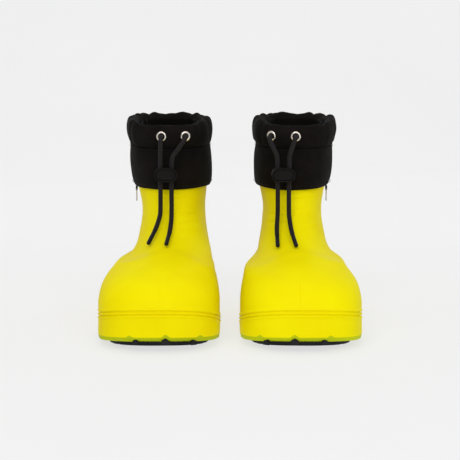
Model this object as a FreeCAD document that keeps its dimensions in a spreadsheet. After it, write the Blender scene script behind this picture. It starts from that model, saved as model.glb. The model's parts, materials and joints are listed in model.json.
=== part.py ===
"""Pair of pull-on deck boots: moulded EVA shells, rubber outsoles, padded collars that zip on and draw in.

Millimetres. +Z is up, the toes point to -Y, and the origin is on the floor at the middle of the pair.
The wearer's right boot stands on the -X side. Both boots come from one set of functions: `side` is -1 for the
right boot and +1 for the left one, and across-boot distances grow from the middle of the pair outwards.
"""
import FreeCAD
import Part
import math
import os
from FreeCAD import Placement, Rotation, Vector

# ---------------------------------------------------------------- driving dimensions
SIZES = {
    # moulded shell
    "toe_y": (-155.0, "front of the toe"),
    "heel_y": (155.0, "back of the heel"),
    "forefoot_half": (67.2, "half the forefoot's width"),
    "forefoot_centre": (79.2, "forefoot centre from the middle of the pair"),
    "heel_half": (47.5, "half the heel's width"),
    "shaft_front": (8.0, "front of the shaft at its rim"),
    "shaft_back": (131.0, "back of the shaft at its rim"),
    "rim_height": (160.0, "top of the moulded shell"),
    "wall": (6.5, "thickness of the shell's wall"),
    "floor_height": (28.0, "top of the midsole inside the boot"),
    # underside and outsole
    "ground_gap": (4.5, "midsole above the floor, which the outsole fills"),
    "toe_spring": (8.0, "rise of the underside at the toe"),
    "spring_start": (-58.0, "where the underside starts to rise"),
    "outsole_inset": (12.0, "outsole edge inside the shell's outline"),
    "outsole_front_end": (10.0, "back edge of the forefoot outsole"),
    "outsole_heel_start": (58.0, "front edge of the heel outsole"),
    "tread_depth": (2.4, "depth of the tread grooves"),
    "tread_width": (4.0, "width of the tread grooves"),
    # lining
    "fit_gap": (0.3, "clearance between pieces that lie on each other"),
    "liner_thickness": (2.6, "thickness of the soft liner"),
    "footbed_thickness": (5.0, "thickness of the removable footbed"),
    "liner_top": (156.0, "top edge of the liner"),
    # collar
    "hem_height": (157.5, "lower edge of the collar"),
    "step_height": (172.0, "where the collar closes in over the zip"),
    "seam_height": (207.7, "seam between collar and drawcord tunnel"),
    "collar_top": (237.5, "top of the drawcord tunnel"),
    "flap_gap": (2.0, "gap between the shell and the collar's hem"),
    "opening_inset": (5.5, "opening inside the shell's outline"),
    "lining_thickness": (1.0, "thickness of the collar's lining"),
    # drawcord
    "cord_diameter": (5.2, "drawcord diameter"),
    "channel_radius": (3.3, "radius of the passage in the tunnel"),
    "channel_offset": (1.4, "passage centre outside the shell's outline"),
    "tunnel_height": (221.0, "height of the passage and the eyelets"),
    "tip_diameter": (4.8, "diameter of the cord tips"),
    "eyelet_radius": (5.8, "outer radius of the eyelet flange"),
    "eyelet_bore": (2.95, "radius of the eyelet's hole"),
    "eyelet_barrel": (3.7, "outer radius of the eyelet's barrel"),
    "eyelet_flange": (0.9, "thickness of the eyelet's flange"),
    # cord lock
    "lock_width": (27.0, "cord lock, across"),
    "lock_height": (16.0, "cord lock, up"),
    "lock_z": (178.0, "height of the cord lock's centre"),
    "lock_wall": (1.7, "wall of the cord lock's barrel"),
    "cord_pitch": (12.7, "distance between the two cords in the lock"),
    "cord_hole": (3.0, "radius of the barrel's cord holes"),
    "cord_plane": (-12.0, "plane in which the free cords hang"),
    "rim_front": (8.0, "barrel rim in front of the cords"),
    "barrel_back": (9.4, "barrel's back behind the cords"),
    "button_recess": (0.7, "button face behind the barrel's rim"),
    "button_travel": (2.5, "travel of the button"),
    "spring_radius": (2.2, "mean radius of the lock's spring"),
    "spring_wire": (0.7, "diameter of the spring's wire"),
    "pocket_reach": (1.5, "how far in front of the cords the spring's pocket ends"),
    "button_gap": (0.35, "gap round the button"),
    # zip
    "tape_low": (164.5, "top of the lower zip tape"),
    "tape_high": (168.0, "bottom of the upper zip tape"),
    "tape_thickness": (0.8, "thickness of the zip tapes"),
    "tape_depth": (2.1, "outer face of the tapes inside the shell's outline"),
    "teeth_thickness": (2.4, "thickness of the closed teeth"),
    "slider_length": (9.0, "length of the slider"),
    "pull_width": (5.0, "width of the pull"),
    "pull_thickness": (1.2, "thickness of the pull"),
    "slot_gap": (0.7, "gap between the two rows of teeth, where the slider's web runs"),
    "pull_offset": (1.3, "pin of the pull outside the shell's outline"),
    "pull_pivot_z": (151.5, "height of the pull's pin"),
    "pull_length": (14.0, "length of the pull below its pin"),
    "pin_radius": (0.6, "radius of the pull's pin"),
    "ear_width": (1.3, "width of each ear that holds the pin"),
    "fork_half": (1.1, "half the ears' thickness"),
}

# Each boot's shaft and collar lean a little differently, as soft boots do.
BOOTS = {
    "right": {"side": -1, "shaft_centre": 68.8, "shaft_half": 41.3, "collar_lean": 3.6,
              "waist_centre": 66.9, "waist_half": 37.4},
    "left": {"side": 1, "shaft_centre": 74.0, "shaft_half": 39.6, "collar_lean": 3.0,
             "waist_centre": 73.8, "waist_half": 34.8},
}

doc = FreeCAD.newDocument("DeckBoots")
sheet = doc.addObject("Spreadsheet::Sheet", "Sizes")
for row, (alias, (value, note)) in enumerate(SIZES.items(), start=1):
    sheet.set(f"A{row}", alias)
    sheet.set(f"B{row}", str(value))
    sheet.set(f"C{row}", note)
    sheet.setAlias(f"B{row}", alias)
doc.recompute()


def size(alias):
    return float(sheet.get(alias))


# ---------------------------------------------------------------- document helpers
def new_body(label):
    body = doc.addObject("PartDesign::Body", label)
    body.Label = label
    return body


def origin_plane(body, role):
    return next(f for f in body.Origin.OriginFeatures if f.Role == role)


def new_sketch(body, name, role, curves, distance="0 mm"):
    """A sketch on one of the body's own planes, moved along its normal by an expression."""
    sketch = body.newObject("Sketcher::SketchObject", name)
    sketch.AttachmentSupport = [(origin_plane(body, role), "")]
    sketch.MapMode = "FlatFace"
    sketch.setExpression("AttachmentOffset.Base.z", distance)
    sketch.addGeometry(curves, False)
    return sketch


def new_pad(body, sketch, length, **options):
    pad = body.newObject("PartDesign::Pad", "Pad")
    pad.Profile = sketch
    pad.setExpression("Length", length)
    for option, value in options.items():
        setattr(pad, option, value)
    doc.recompute()
    return pad


def new_pocket(body, sketch, length=None, **options):
    """A pocket that has to take something away, or the build stops."""
    before = body.Shape.Volume
    pocket = body.newObject("PartDesign::Pocket", "Pocket")
    pocket.Profile = sketch
    if length:
        pocket.setExpression("Length", length)
    else:
        pocket.Type = 1
        pocket.Midplane = True
    for option, value in options.items():
        setattr(pocket, option, value)
    doc.recompute()
    if body.Shape.Volume > before - 0.5:
        raise RuntimeError(f"{body.Label}: a pocket cut nothing")
    return pocket


def new_loft(body, kind, sketches):
    doc.recompute()
    loft = body.newObject(f"PartDesign::{kind}", kind)
    loft.Profile = sketches[0]
    loft.Sections = sketches[1:]
    doc.recompute()
    return loft


def closed_spline(points):
    """A closed curve through the points, one parameter step apart, so that stacked curves loft cleanly."""
    curve = Part.BSplineCurve()
    knots = [float(i) for i in range(len(points) + 1)]
    curve.interpolate(Points=points, PeriodicFlag=True, Parameters=knots)
    return curve


def polygon(points):
    ends = points[1:] + points[:1]
    return [Part.LineSegment(a, b) for a, b in zip(points, ends)]


def rectangle(x0, y0, x1, y1):
    return polygon([Vector(x0, y0), Vector(x1, y0), Vector(x1, y1), Vector(x0, y1)])


def stadium(centre_x, centre_y, width, height):
    """An oval slot outline lying across: two straights and two half circles."""
    r = height / 2
    half = width / 2 - r
    left = Vector(centre_x - half, centre_y)
    right = Vector(centre_x + half, centre_y)
    up = Vector(0, r)
    across = Vector(r, 0)
    return [
        Part.LineSegment(left - up, right - up),
        Part.Arc(right - up, right + across, right + up),
        Part.LineSegment(right + up, left + up),
        Part.Arc(left + up, left - across, left - up),
    ]


# ---------------------------------------------------------------- outlines of the boot
RING_POINTS = 28
FINE_STEPS = 720


def even_points(points, count):
    """The closed outline as `count` points at equal distances along it."""
    loop = points + points[:1]
    reached = [0.0]
    for a, b in zip(loop, loop[1:]):
        reached.append(reached[-1] + a.distanceToPoint(b))
    even = []
    j = 0
    for i in range(count):
        wanted = reached[-1] * i / count
        while reached[j + 1] < wanted:
            j += 1
        share = (wanted - reached[j]) / (reached[j + 1] - reached[j])
        even.append(loop[j] + (loop[j + 1] - loop[j]) * share)
    return even


class Ring:
    """One level outline of the boot: two superellipse halves that meet where the boot is widest."""

    def __init__(self, front, back, widest, half, heel_half, centre, heel_centre, blunt_front, blunt_back):
        self.front = front
        self.back = back
        self.widest = widest
        self.half = half
        self.heel_half = heel_half
        self.centre = centre
        self.heel_centre = heel_centre
        self.blunt_front = blunt_front
        self.blunt_back = blunt_back

    def grown(self, by):
        """The outline moved outwards by a distance, or inwards by a negative one."""
        return Ring(
            self.front - by, self.back + by, self.widest, self.half + by, self.heel_half + by,
            self.centre, self.heel_centre, self.blunt_front, self.blunt_back,
        )

    def point(self, side, turn):
        """The point at an angle from the toe, positive towards the outer side of the boot."""
        along = math.cos(turn)
        across = math.sin(turn)
        to_front = along >= 0
        power = 2 / (self.blunt_front if to_front else self.blunt_back)
        reach = (self.front if to_front else self.back) - self.widest
        y = self.widest + reach * abs(along) ** power
        share = 0.0 if to_front else min(1.0, (y - self.widest) / (0.55 * reach))
        share = share * share * (3 - 2 * share)
        half = self.half + (self.heel_half - self.half) * share
        centre = self.centre + (self.heel_centre - self.centre) * share
        out = math.copysign(abs(across) ** power, across) * half
        return Vector(side * (centre + out), y, 0)

    def points(self, side):
        fine = [self.point(side, 2 * math.pi * i / FINE_STEPS) for i in range(FINE_STEPS)]
        return even_points(fine, RING_POINTS)

    def curves(self, side):
        """The outline as two curves that meet smoothly at the toe and the heel."""
        halves = []
        for first in (0, RING_POINTS // 2):
            half = closed_spline(self.points(side))
            half.segment(first, first + RING_POINTS // 2)
            halves.append(half)
        return halves


def shell_rows(boot):
    """Height and outline from the sole up: rand, domed toe cap, instep, then the shaft with its waist."""
    toe = size("toe_y")
    heel = size("heel_y")
    wide = size("forefoot_half")
    middle = size("forefoot_centre")
    heel_half = size("heel_half")
    waist = boot["waist_half"]
    c = boot["waist_centre"]
    front = size("shaft_front")
    back = size("shaft_back")
    rim = size("rim_height")
    rim_c = boot["shaft_centre"]
    rim_half = boot["shaft_half"]
    heel_c = c + 4.5
    flare = waist + 0.43 * (rim_half - waist)
    flare_c = (c + rim_c) / 2
    return [
        (0, Ring(toe + 4, heel - 4, -75, wide + 0.3, heel_half - 1.5, middle, heel_c, 2.45, 3.8)),
        (14, Ring(toe + 1, heel - 1, -75, wide + 0.8, heel_half, middle, heel_c, 2.45, 3.8)),
        (32, Ring(toe + 0.4, heel, -75, wide + 0.6, heel_half + 0.3, middle, heel_c, 2.4, 3.8)),
        (50, Ring(toe + 2.0, heel - 2, -75, wide + 0.3, heel_half - 0.7, middle, heel_c, 2.35, 3.6)),
        (66, Ring(toe + 12, heel - 6, -64, wide - 3.5, heel_half - 2.2, middle - 1.2, c + 3.5, 2.3, 3.3)),
        (78, Ring(toe + 29, heel - 9.5, -46, wide - 10.5, heel_half - 3.2, middle - 4, c + 2.2, 2.2, 3.0)),
        (87, Ring(toe + 54, heel - 12, -16, waist + 12, waist + 6.6, c + 3.5, c + 1, 2.1, 2.8)),
        (94, Ring(toe + 90, heel - 14, 16, waist + 7, waist + 5, c + 1.5, c + 0.5, 2.1, 2.6)),
        (104, Ring(-34, heel - 17, 44, waist + 3, waist + 3, c + 0.5, c, 2.1, 2.3)),
        (118, Ring(-14, back + 4, 58, waist + 0.5, waist + 0.5, c, c, 2.05, 2.1)),
        (135, Ring(-2, back + 1, 65, waist, waist, c + 0.3, c + 0.3, 2.0, 2.0)),
        (148, Ring(3, back + 0.6, 67.3, flare, flare, flare_c, flare_c, 2.0, 2.0)),
        (rim, Ring(front, back, (front + back) / 2, rim_half, rim_half, rim_c, rim_c, 2.0, 2.0)),
    ]


def cavity_rows(boot, inset, floor):
    """The shell's rows moved in by `inset`, from the floor of the cavity to above the rim."""
    rows = shell_rows(boot)
    inner = [(floor, rows[2][1].grown(-inset - 3))]
    drops = {50: 3, 66: 5, 78: 6.5, 87: 7, 94: 6.5, 104: 4}
    for height, ring in rows[3:-1]:
        inner.append((height - drops.get(height, 0) * inset / size("wall"), ring.grown(-inset)))
    inner.append((size("rim_height") + 6, rows[-1][1].grown(-inset)))
    return inner


def ring_sketches(body, name, rows, side):
    return [
        new_sketch(body, f"{name}{i}", "XY_Plane", ring.curves(side), f"{height} mm")
        for i, (height, ring) in enumerate(rows)
    ]


# ---------------------------------------------------------------- shell, soles and lining
OVERSHOOT = 15
LEDGE = 7


def underside(lowered):
    """The side profile of the underside, heel to toe: level, then one arc tangent to it up to the toe."""
    start = size("spring_start")
    toe = size("toe_y")
    run = start - toe
    rise = size("toe_spring")
    level = size("ground_gap") - lowered
    radius = (run * run + rise * rise) / (2 * rise)
    half_turn = math.asin(run / radius) / 2
    middle = Vector(start - radius * math.sin(half_turn), level + radius * (1 - math.cos(half_turn)))
    back = Vector(size("heel_y") + OVERSHOOT, level)
    tangent = Vector(start, level)
    tip = Vector(toe, level + rise)
    slope = 2 * rise / run
    front = Vector(toe - OVERSHOOT, level + rise + OVERSHOOT * slope)
    return back, tangent, middle, tip, front


def under_region(lowered, far):
    """The closed region between the underside's profile and a level line at height `far`."""
    back, tangent, middle, tip, front = underside(lowered)
    return [
        Part.LineSegment(back, tangent),
        Part.Arc(tangent, middle, tip),
        Part.LineSegment(tip, front),
        Part.LineSegment(front, Vector(front.x, far)),
        Part.LineSegment(Vector(front.x, far), Vector(back.x, far)),
        Part.LineSegment(Vector(back.x, far), back),
    ]


def make_shell(name, boot):
    body = new_body(f"{name}_eva_shell")
    new_loft(body, "AdditiveLoft", ring_sketches(body, "outer", shell_rows(boot), boot["side"]))
    inner = cavity_rows(boot, size("wall"), size("floor_height"))
    new_loft(body, "SubtractiveLoft", ring_sketches(body, "cavity", inner, boot["side"]))
    new_pocket(body, new_sketch(body, "underside", "YZ_Plane", under_region(0, -12)))
    return body


def make_outsole(name, boot, part, cut_from, cut_to):
    """A rubber slab under the forefoot or the heel, with cross grooves in its tread."""
    body = new_body(f"{name}_outsole_{part}")
    outline = shell_rows(boot)[1][1].grown(-size("outsole_inset"))
    new_pad(body, new_sketch(body, "outline", "XY_Plane", outline.curves(boot["side"])), "26 mm")
    new_pocket(body, new_sketch(body, "above", "YZ_Plane", under_region(0, 40)))
    new_pocket(body, new_sketch(body, "below", "YZ_Plane", under_region(size("ground_gap"), -12)))
    new_pocket(body, new_sketch(body, "arch", "YZ_Plane", rectangle(cut_from, -20, cut_to, 40)))
    box = body.Shape.BoundBox
    pitch = 3.2 * size("tread_width")
    count = int((box.YLength - 16) / pitch)
    first = (box.YMin + box.YMax - (count - 1) * pitch) / 2
    half = size("tread_width") / 2
    for i in range(count):
        y = first + i * pitch
        z = body.Shape.common(Part.makeBox(400, 2 * half, 60, Vector(-200, y - half, -20))).BoundBox.ZMin
        groove = rectangle(y - half, z - 5, y + half, z + size("tread_depth"))
        new_pocket(body, new_sketch(body, f"tread{i}", "YZ_Plane", groove))
    return body


def make_liner(name, boot):
    body = new_body(f"{name}_liner")
    gap = size("fit_gap")
    outer = size("wall") + gap
    inner = outer + size("liner_thickness")
    floor = size("floor_height") + gap
    rows = cavity_rows(boot, outer, floor)
    new_loft(body, "AdditiveLoft", ring_sketches(body, "outer", rows, boot["side"]))
    rows = cavity_rows(boot, inner, floor + size("liner_thickness"))
    rows[-1] = (rows[-1][0] + 1, rows[-1][1])
    new_loft(body, "SubtractiveLoft", ring_sketches(body, "hollow", rows, boot["side"]))
    top = rectangle(size("toe_y"), size("liner_top"), size("heel_y"), size("rim_height") + 20)
    new_pocket(body, new_sketch(body, "top_edge", "YZ_Plane", top))
    return body


def make_footbed(name, boot):
    body = new_body(f"{name}_footbed")
    inset = size("wall") + size("liner_thickness") + LEDGE
    outline = shell_rows(boot)[2][1].grown(-inset)
    sketch = new_sketch(
        body, "outline", "XY_Plane", outline.curves(boot["side"]),
        "Sizes.floor_height + Sizes.liner_thickness + 2 * Sizes.fit_gap",
    )
    new_pad(body, sketch, "Sizes.footbed_thickness")
    return body


# ---------------------------------------------------------------- collar
def rim_ring(boot, height):
    """The shaft's rim outline carried up into the collar, leaning outwards with height."""
    ring = shell_rows(boot)[-1][1].grown(0)
    share = max(0.0, (height - size("rim_height")) / (size("collar_top") - size("rim_height")))
    ring.centre += boot["collar_lean"] * share
    ring.heel_centre = ring.centre
    blunt = 2.0 + 0.5 * min(1.0, share * 1.6)
    ring.blunt_front = blunt
    ring.blunt_back = blunt
    return ring


def collar_rows(boot, profile):
    return [(height, rim_ring(boot, height).grown(by)) for height, by in profile]


def make_collar_body(name, boot):
    body = new_body(f"{name}_collar_body")
    hem = size("hem_height")
    seam = size("seam_height")
    flap = size("flap_gap")
    outer = [(hem, flap + 1.6), (hem + 5, flap + 3.5), (hem + 18, 7.4), (hem + 34, 7.2), (seam, 6.2)]
    new_loft(body, "AdditiveLoft", ring_sketches(body, "outer", collar_rows(boot, outer), boot["side"]))
    skirt = new_sketch(body, "skirt", "XY_Plane", rim_ring(boot, 0).grown(flap).curves(boot["side"]),
                       "Sizes.hem_height")
    new_pocket(body, skirt, "Sizes.step_height - Sizes.hem_height", Reversed=True)
    inset = -size("opening_inset")
    inner = collar_rows(boot, [(size("step_height") - 6, inset), (190, inset), (seam + 6, inset)])
    new_loft(body, "SubtractiveLoft", ring_sketches(body, "opening", inner, boot["side"]))
    return body


def make_collar_lining(name, boot):
    body = new_body(f"{name}_collar_lining")
    outer = -size("opening_inset") - 2 * size("fit_gap")
    inner = outer - size("lining_thickness")
    low = size("step_height") + 1
    top = size("collar_top") - 3
    new_loft(body, "AdditiveLoft", ring_sketches(
        body, "outer", collar_rows(boot, [(low, outer), (205, outer), (top, outer)]), boot["side"]))
    new_loft(body, "SubtractiveLoft", ring_sketches(
        body, "inner", collar_rows(boot, [(low - 4, inner), (205, inner), (top + 4, inner)]), boot["side"]))
    return body


def tunnel_profile():
    seam = size("seam_height")
    top = size("collar_top")
    return [(seam + 0.3, 6.0), (seam + 5, 9.2), (seam + 14, 10.6), (top - 7, 9.6), (top, 4.5)]


# ---------------------------------------------------------------- drawcord
def rounded_wire(points):
    """Straight runs joined by tangent arcs, each as large as its two runs allow."""
    turns = []
    for before, corner, after in zip(points, points[1:], points[2:]):
        into = (corner - before).normalize()
        out = (after - corner).normalize()
        half_turn = into.getAngle(out) / 2
        cut = 0.45 * min(before.distanceToPoint(corner), corner.distanceToPoint(after))
        start = corner - into * cut
        end = corner + out * cut
        radius = cut / math.tan(half_turn)
        inwards = (out - into).normalize()
        middle = corner + inwards * (radius / math.cos(half_turn) - radius)
        turns.append((start, middle, end))
    edges = []
    at = points[0]
    for start, middle, end in turns:
        edges.append(Part.LineSegment(at, start).toShape())
        edges.append(Part.Arc(start, middle, end).toShape())
        at = end
    edges.append(Part.LineSegment(at, points[-1]).toShape())
    return Part.Wire(edges)


def make_tube(label, points, radius_alias, factor=1.0):
    """A round cord swept along the route, whose volume has to be its section times its length."""
    route = doc.addObject("Part::Feature", f"{label}_route")
    route.Shape = rounded_wire(points)
    section = doc.addObject("Part::Circle", f"{label}_section")
    section.setExpression("Radius", f"Sizes.{radius_alias} * {factor}")
    section.Placement = Placement(points[0], Rotation(Vector(0, 0, 1), points[1] - points[0]))
    tube = doc.addObject("Part::Sweep", label)
    tube.Sections = [section]
    tube.Spine = (route, [f"Edge{i + 1}" for i in range(len(route.Shape.Edges))])
    tube.Solid = True
    tube.Label = label
    doc.recompute()
    radius = size(radius_alias) * factor
    expected = math.pi * radius * radius * route.Shape.Length
    if abs(tube.Shape.Volume / expected - 1) > 0.01:
        raise RuntimeError(f"{label}: volume {tube.Shape.Volume:.0f}, expected {expected:.0f}")
    return tube


# Route points of the free cords, each (distance from the middle of the pair, y, z): out of the eyelet, down
# through the lock, where both cords are straight and level with each other, and on to the instep.
CORD_ROUTES = {
    "right": {
        "outer": [
            (78.9, -1.2, 221.0), (79.2, -7.2, 221.0), (79.5, -11.3, 216.9), (79.5, -12.6, 208.0),
            (79.85, -12.0, 197.0), (79.85, -12.0, 134.0), (82.6, -15.2, 121.0), (86.5, -22.2, 113.8),
        ],
        "inner": [
            (51.5, 1.4, 221.0), (50.0, -4.4, 221.0), (52.4, -8.4, 217.2), (59.0, -11.2, 208.0),
            (67.15, -12.0, 197.0), (67.15, -12.0, 134.0), (67.4, -22.0, 119.0), (69.3, -31.8, 112.6),
        ],
    },
    "left": {
        "outer": [
            (75.7, -1.4, 221.0), (75.4, -7.4, 221.0), (74.2, -11.4, 217.2), (70.6, -12.5, 208.5),
            (67.65, -12.0, 197.0), (67.65, -12.0, 134.0), (68.9, -23.5, 118.3), (71.4, -33.6, 111.4),
        ],
        "inner": [
            (48.2, 6.2, 221.0), (45.2, 1.2, 221.0), (45.4, -4.2, 218.0), (49.4, -9.6, 209.5),
            (54.95, -12.0, 197.5), (54.95, -12.0, 134.0), (54.2, -13.5, 122.0), (53.7, -18.2, 114.5),
            (53.9, -26.8, 109.5),
        ],
    },
}
CORD_KEYS = ("outer", "inner")
SPRING_TURNS = 3
SPRING_STEPS = 8
LOCK_POINT = 4
TIP_LENGTH = 20.0
EYELET_BACK = 1.2


def free_cord_route(name, boot, key):
    return [Vector(boot["side"] * out, y, z) for out, y, z in CORD_ROUTES[name][key]]


def eyelet_place(name, boot, key):
    """Centre of an eyelet on the fabric's face, and the way it points: the cord's own way out."""
    route = free_cord_route(name, boot, key)
    normal = (route[1] - route[0]).normalize()
    return route[0] + normal * EYELET_BACK, normal


def make_tunnel(name, boot):
    """The gathered top of the collar: a ring of fabric with the cord's passage and two eyelet holes."""
    body = new_body(f"{name}_tunnel_ring")
    outer = collar_rows(boot, tunnel_profile())
    new_loft(body, "AdditiveLoft", ring_sketches(body, "outer", outer, boot["side"]))
    inset = -size("opening_inset")
    inner = [(size("seam_height") - 6, inset), (220, inset), (size("collar_top") + 6, inset)]
    new_loft(body, "SubtractiveLoft", ring_sketches(body, "opening", collar_rows(boot, inner), boot["side"]))
    passage = make_tube(f"{name}_passage", passage_route(name, boot), "channel_radius")
    holes = []
    for i, key in enumerate(CORD_KEYS):
        place, normal = eyelet_place(name, boot, key)
        hole = doc.addObject("Part::Cylinder", f"{name}_eyelet_hole{i}")
        hole.setExpression("Radius", "Sizes.eyelet_barrel")
        hole.Height = 7.5
        hole.Placement = Placement(place + normal * 3, Rotation(Vector(0, 0, 1), normal * -1))
        holes.append(hole)
    tools = doc.addObject("Part::MultiFuse", f"{name}_tunnel_tools")
    tools.Shapes = [passage] + holes
    tunnel = doc.addObject("Part::Cut", f"{name}_collar_tunnel")
    tunnel.Base = body
    tunnel.Tool = tools
    doc.recompute()
    return tunnel


def passage_route(name, boot):
    """The cord's way round the tunnel: in at one eyelet, round the back, and out at the other."""
    height = size("tunnel_height")
    ring = rim_ring(boot, height).grown(size("channel_offset"))
    first, first_normal = eyelet_place(name, boot, "outer")
    last, last_normal = eyelet_place(name, boot, "inner")
    depth = 10.6 - size("channel_offset")
    start = first - first_normal * EYELET_BACK
    end = last - last_normal * EYELET_BACK
    route = [start, first - first_normal * (depth - 0.5)]
    side = boot["side"]
    turn_in = max(24, 12 + math.degrees(math.asin(abs(first.x - side * ring.centre) / 60)))
    turn_out = 360 - max(34, 12 + math.degrees(math.asin(abs(last.x - side * ring.centre) / 50)))
    steps = 11
    for i in range(steps + 1):
        turn = math.radians(turn_in + (turn_out - turn_in) * i / steps)
        place = ring.point(side, turn)
        place.z = height
        route.append(place)
    route.append(last - last_normal * (depth - 0.5))
    route.append(end)
    return route


def make_eyelets(name, boot):
    """Two pressed eyelets: a domed flange in front and a barrel through the fabric."""
    pieces = []
    for i, key in enumerate(CORD_KEYS):
        place, normal = eyelet_place(name, boot, key)
        body = new_body(f"{name}_eyelet{i}")
        flange = size("eyelet_flange")
        barrel = size("eyelet_barrel")
        bore = size("eyelet_bore")
        out = size("eyelet_radius")
        edge = Vector(out, 0)
        section = [
            Part.LineSegment(Vector(bore, -3.2), Vector(barrel - 0.05, -3.2)),
            Part.LineSegment(Vector(barrel - 0.05, -3.2), Vector(barrel - 0.05, 0)),
            Part.LineSegment(Vector(barrel - 0.05, 0), edge),
            Part.Arc(edge, Vector((bore + out) / 2 + 0.6, flange), Vector(bore + 0.5, flange * 0.7)),
            Part.LineSegment(Vector(bore + 0.5, flange * 0.7), Vector(bore, 0.1)),
            Part.LineSegment(Vector(bore, 0.1), Vector(bore, -3.2)),
        ]
        profile = new_sketch(body, "profile", "XZ_Plane", section)
        turned = body.newObject("PartDesign::Revolution", "Turned")
        turned.Profile = profile
        turned.ReferenceAxis = (profile, ["V_Axis"])
        turned.Angle = 360
        doc.recompute()
        body.Placement = Placement(place + normal * 0.3, Rotation(Vector(0, 0, 1), normal))
        pieces.append(body)
    pair = doc.addObject("Part::Compound", f"{name}_eyelets")
    pair.Links = pieces
    doc.recompute()
    return pair


def make_washers(name, boot):
    pieces = []
    for i, key in enumerate(CORD_KEYS):
        place, normal = eyelet_place(name, boot, key)
        disc = doc.addObject("Part::Cylinder", f"{name}_washer_disc{i}")
        disc.setExpression("Radius", "Sizes.eyelet_radius - 0.6")
        disc.Height = 0.6
        bore = doc.addObject("Part::Cylinder", f"{name}_washer_bore{i}")
        bore.setExpression("Radius", "Sizes.eyelet_barrel + 0.05")
        bore.Height = 0.6
        washer = doc.addObject("Part::Cut", f"{name}_washer{i}")
        washer.Base = disc
        washer.Tool = bore
        doc.recompute()
        washer.Placement = Placement(place - normal * 2.6, Rotation(Vector(0, 0, 1), normal))
        pieces.append(washer)
    pair = doc.addObject("Part::Compound", f"{name}_eyelet_washers")
    pair.Links = pieces
    doc.recompute()
    return pair


def make_tip(name, key, route):
    """A sleeve on the cord's end, in line with its last run: a short rod with a round nose."""
    heading = route[-1] - route[-2]
    rod = doc.addObject("Part::Cylinder", f"{name}_{key}_rod")
    rod.setExpression("Radius", "Sizes.tip_diameter / 2")
    rod.Height = TIP_LENGTH - size("tip_diameter") / 2
    nose = doc.addObject("Part::Sphere", f"{name}_{key}_nose")
    nose.setExpression("Radius", "Sizes.tip_diameter / 2")
    nose.Placement = Placement(Vector(0, 0, rod.Height.Value), Rotation())
    tip = doc.addObject("Part::Fuse", f"{name}_cord_tip_{key}")
    tip.Base = rod
    tip.Tool = nose
    doc.recompute()
    tip.Placement = Placement(route[-1], Rotation(Vector(0, 0, 1), heading))
    return tip


# ---------------------------------------------------------------- cord lock
def lock_centre(name, boot):
    """The lock's x, midway between its two cords, and its height."""
    points = [free_cord_route(name, boot, key)[LOCK_POINT] for key in CORD_KEYS]
    return (points[0].x + points[1].x) / 2, size("lock_z")


def make_lock_body(name, boot):
    """An oval cup open to the front, with two cord holes from top to bottom."""
    body = new_body(f"{name}_lock_body")
    x, z = lock_centre(name, boot)
    outline = stadium(x, z, size("lock_width"), size("lock_height"))
    sketch = new_sketch(body, "outline", "XZ_Plane", outline, "-(Sizes.cord_plane + Sizes.barrel_back)")
    new_pad(body, sketch, "Sizes.barrel_back + Sizes.rim_front")
    wall = size("lock_wall")
    inner = stadium(x, z, size("lock_width") - 2 * wall, size("lock_height") - 2 * wall)
    hollow = new_sketch(body, "hollow", "XZ_Plane", inner, "-(Sizes.cord_plane - Sizes.rim_front)")
    new_pocket(body, hollow, "Sizes.barrel_back + Sizes.rim_front - Sizes.lock_wall + 0.3")
    half = size("cord_pitch") / 2
    circles = [
        Part.Circle(Vector(x + shift, size("cord_plane")), Vector(0, 0, 1), size("cord_hole"))
        for shift in (-half, half)
    ]
    new_pocket(body, new_sketch(body, "cord_holes", "XY_Plane", circles))
    return body


def make_lock_button(name, boot):
    """The plunger: its slots clear the cords in every position, and a round pocket takes the spring."""
    body = new_body(f"{name}_lock_button")
    x, z = lock_centre(name, boot)
    rim = size("lock_wall") + size("button_gap")
    outline = stadium(x, z, size("lock_width") - 2 * rim, size("lock_height") - 2 * rim)
    behind = "-(Sizes.cord_plane + Sizes.cord_diameter / 2 + 1.6)"
    sketch = new_sketch(body, "outline", "XZ_Plane", outline, behind)
    new_pad(body, sketch, "Sizes.cord_diameter / 2 + 1.6 + Sizes.rim_front - Sizes.button_recess")
    half = size("cord_pitch") / 2
    radius = size("cord_hole")
    plane = size("cord_plane")
    back = plane + size("cord_diameter") / 2 + 0.15
    front = plane - size("cord_diameter") / 2 - size("button_travel") - 0.15
    slots = []
    for shift in (-half, half):
        slots += rectangle(x + shift - radius, front, x + shift + radius, back)
    new_pocket(body, new_sketch(body, "cord_slots", "XY_Plane", slots))
    bore = Part.Circle(Vector(x, z), Vector(0, 0, 1), size("spring_radius") + size("spring_wire"))
    bottom = new_sketch(body, "spring_pocket", "XZ_Plane", [bore], "Sizes.pocket_reach - Sizes.cord_plane")
    new_pocket(body, bottom, "10 mm")
    return body


def make_lock_spring(name, boot):
    """The coil spring between the cup's floor and the plunger's pocket, as long as when pressed."""
    x, z = lock_centre(name, boot)
    floor = size("cord_plane") + size("barrel_back") - size("lock_wall") + size("fit_gap")
    first = floor - size("spring_wire") / 2 - 0.1
    last = size("cord_plane") - size("pocket_reach") + size("button_travel") + size("spring_wire") / 2 + 0.2
    radius = size("spring_radius")
    steps = SPRING_TURNS * SPRING_STEPS
    points = []
    for i in range(steps + 1):
        turn = 2 * math.pi * i / SPRING_STEPS
        y = first + (last - first) * i / steps
        points.append(Vector(x + radius * math.cos(turn), y, z + radius * math.sin(turn)))
    return make_tube(f"{name}_lock_spring", points, "spring_wire", 0.5)


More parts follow.
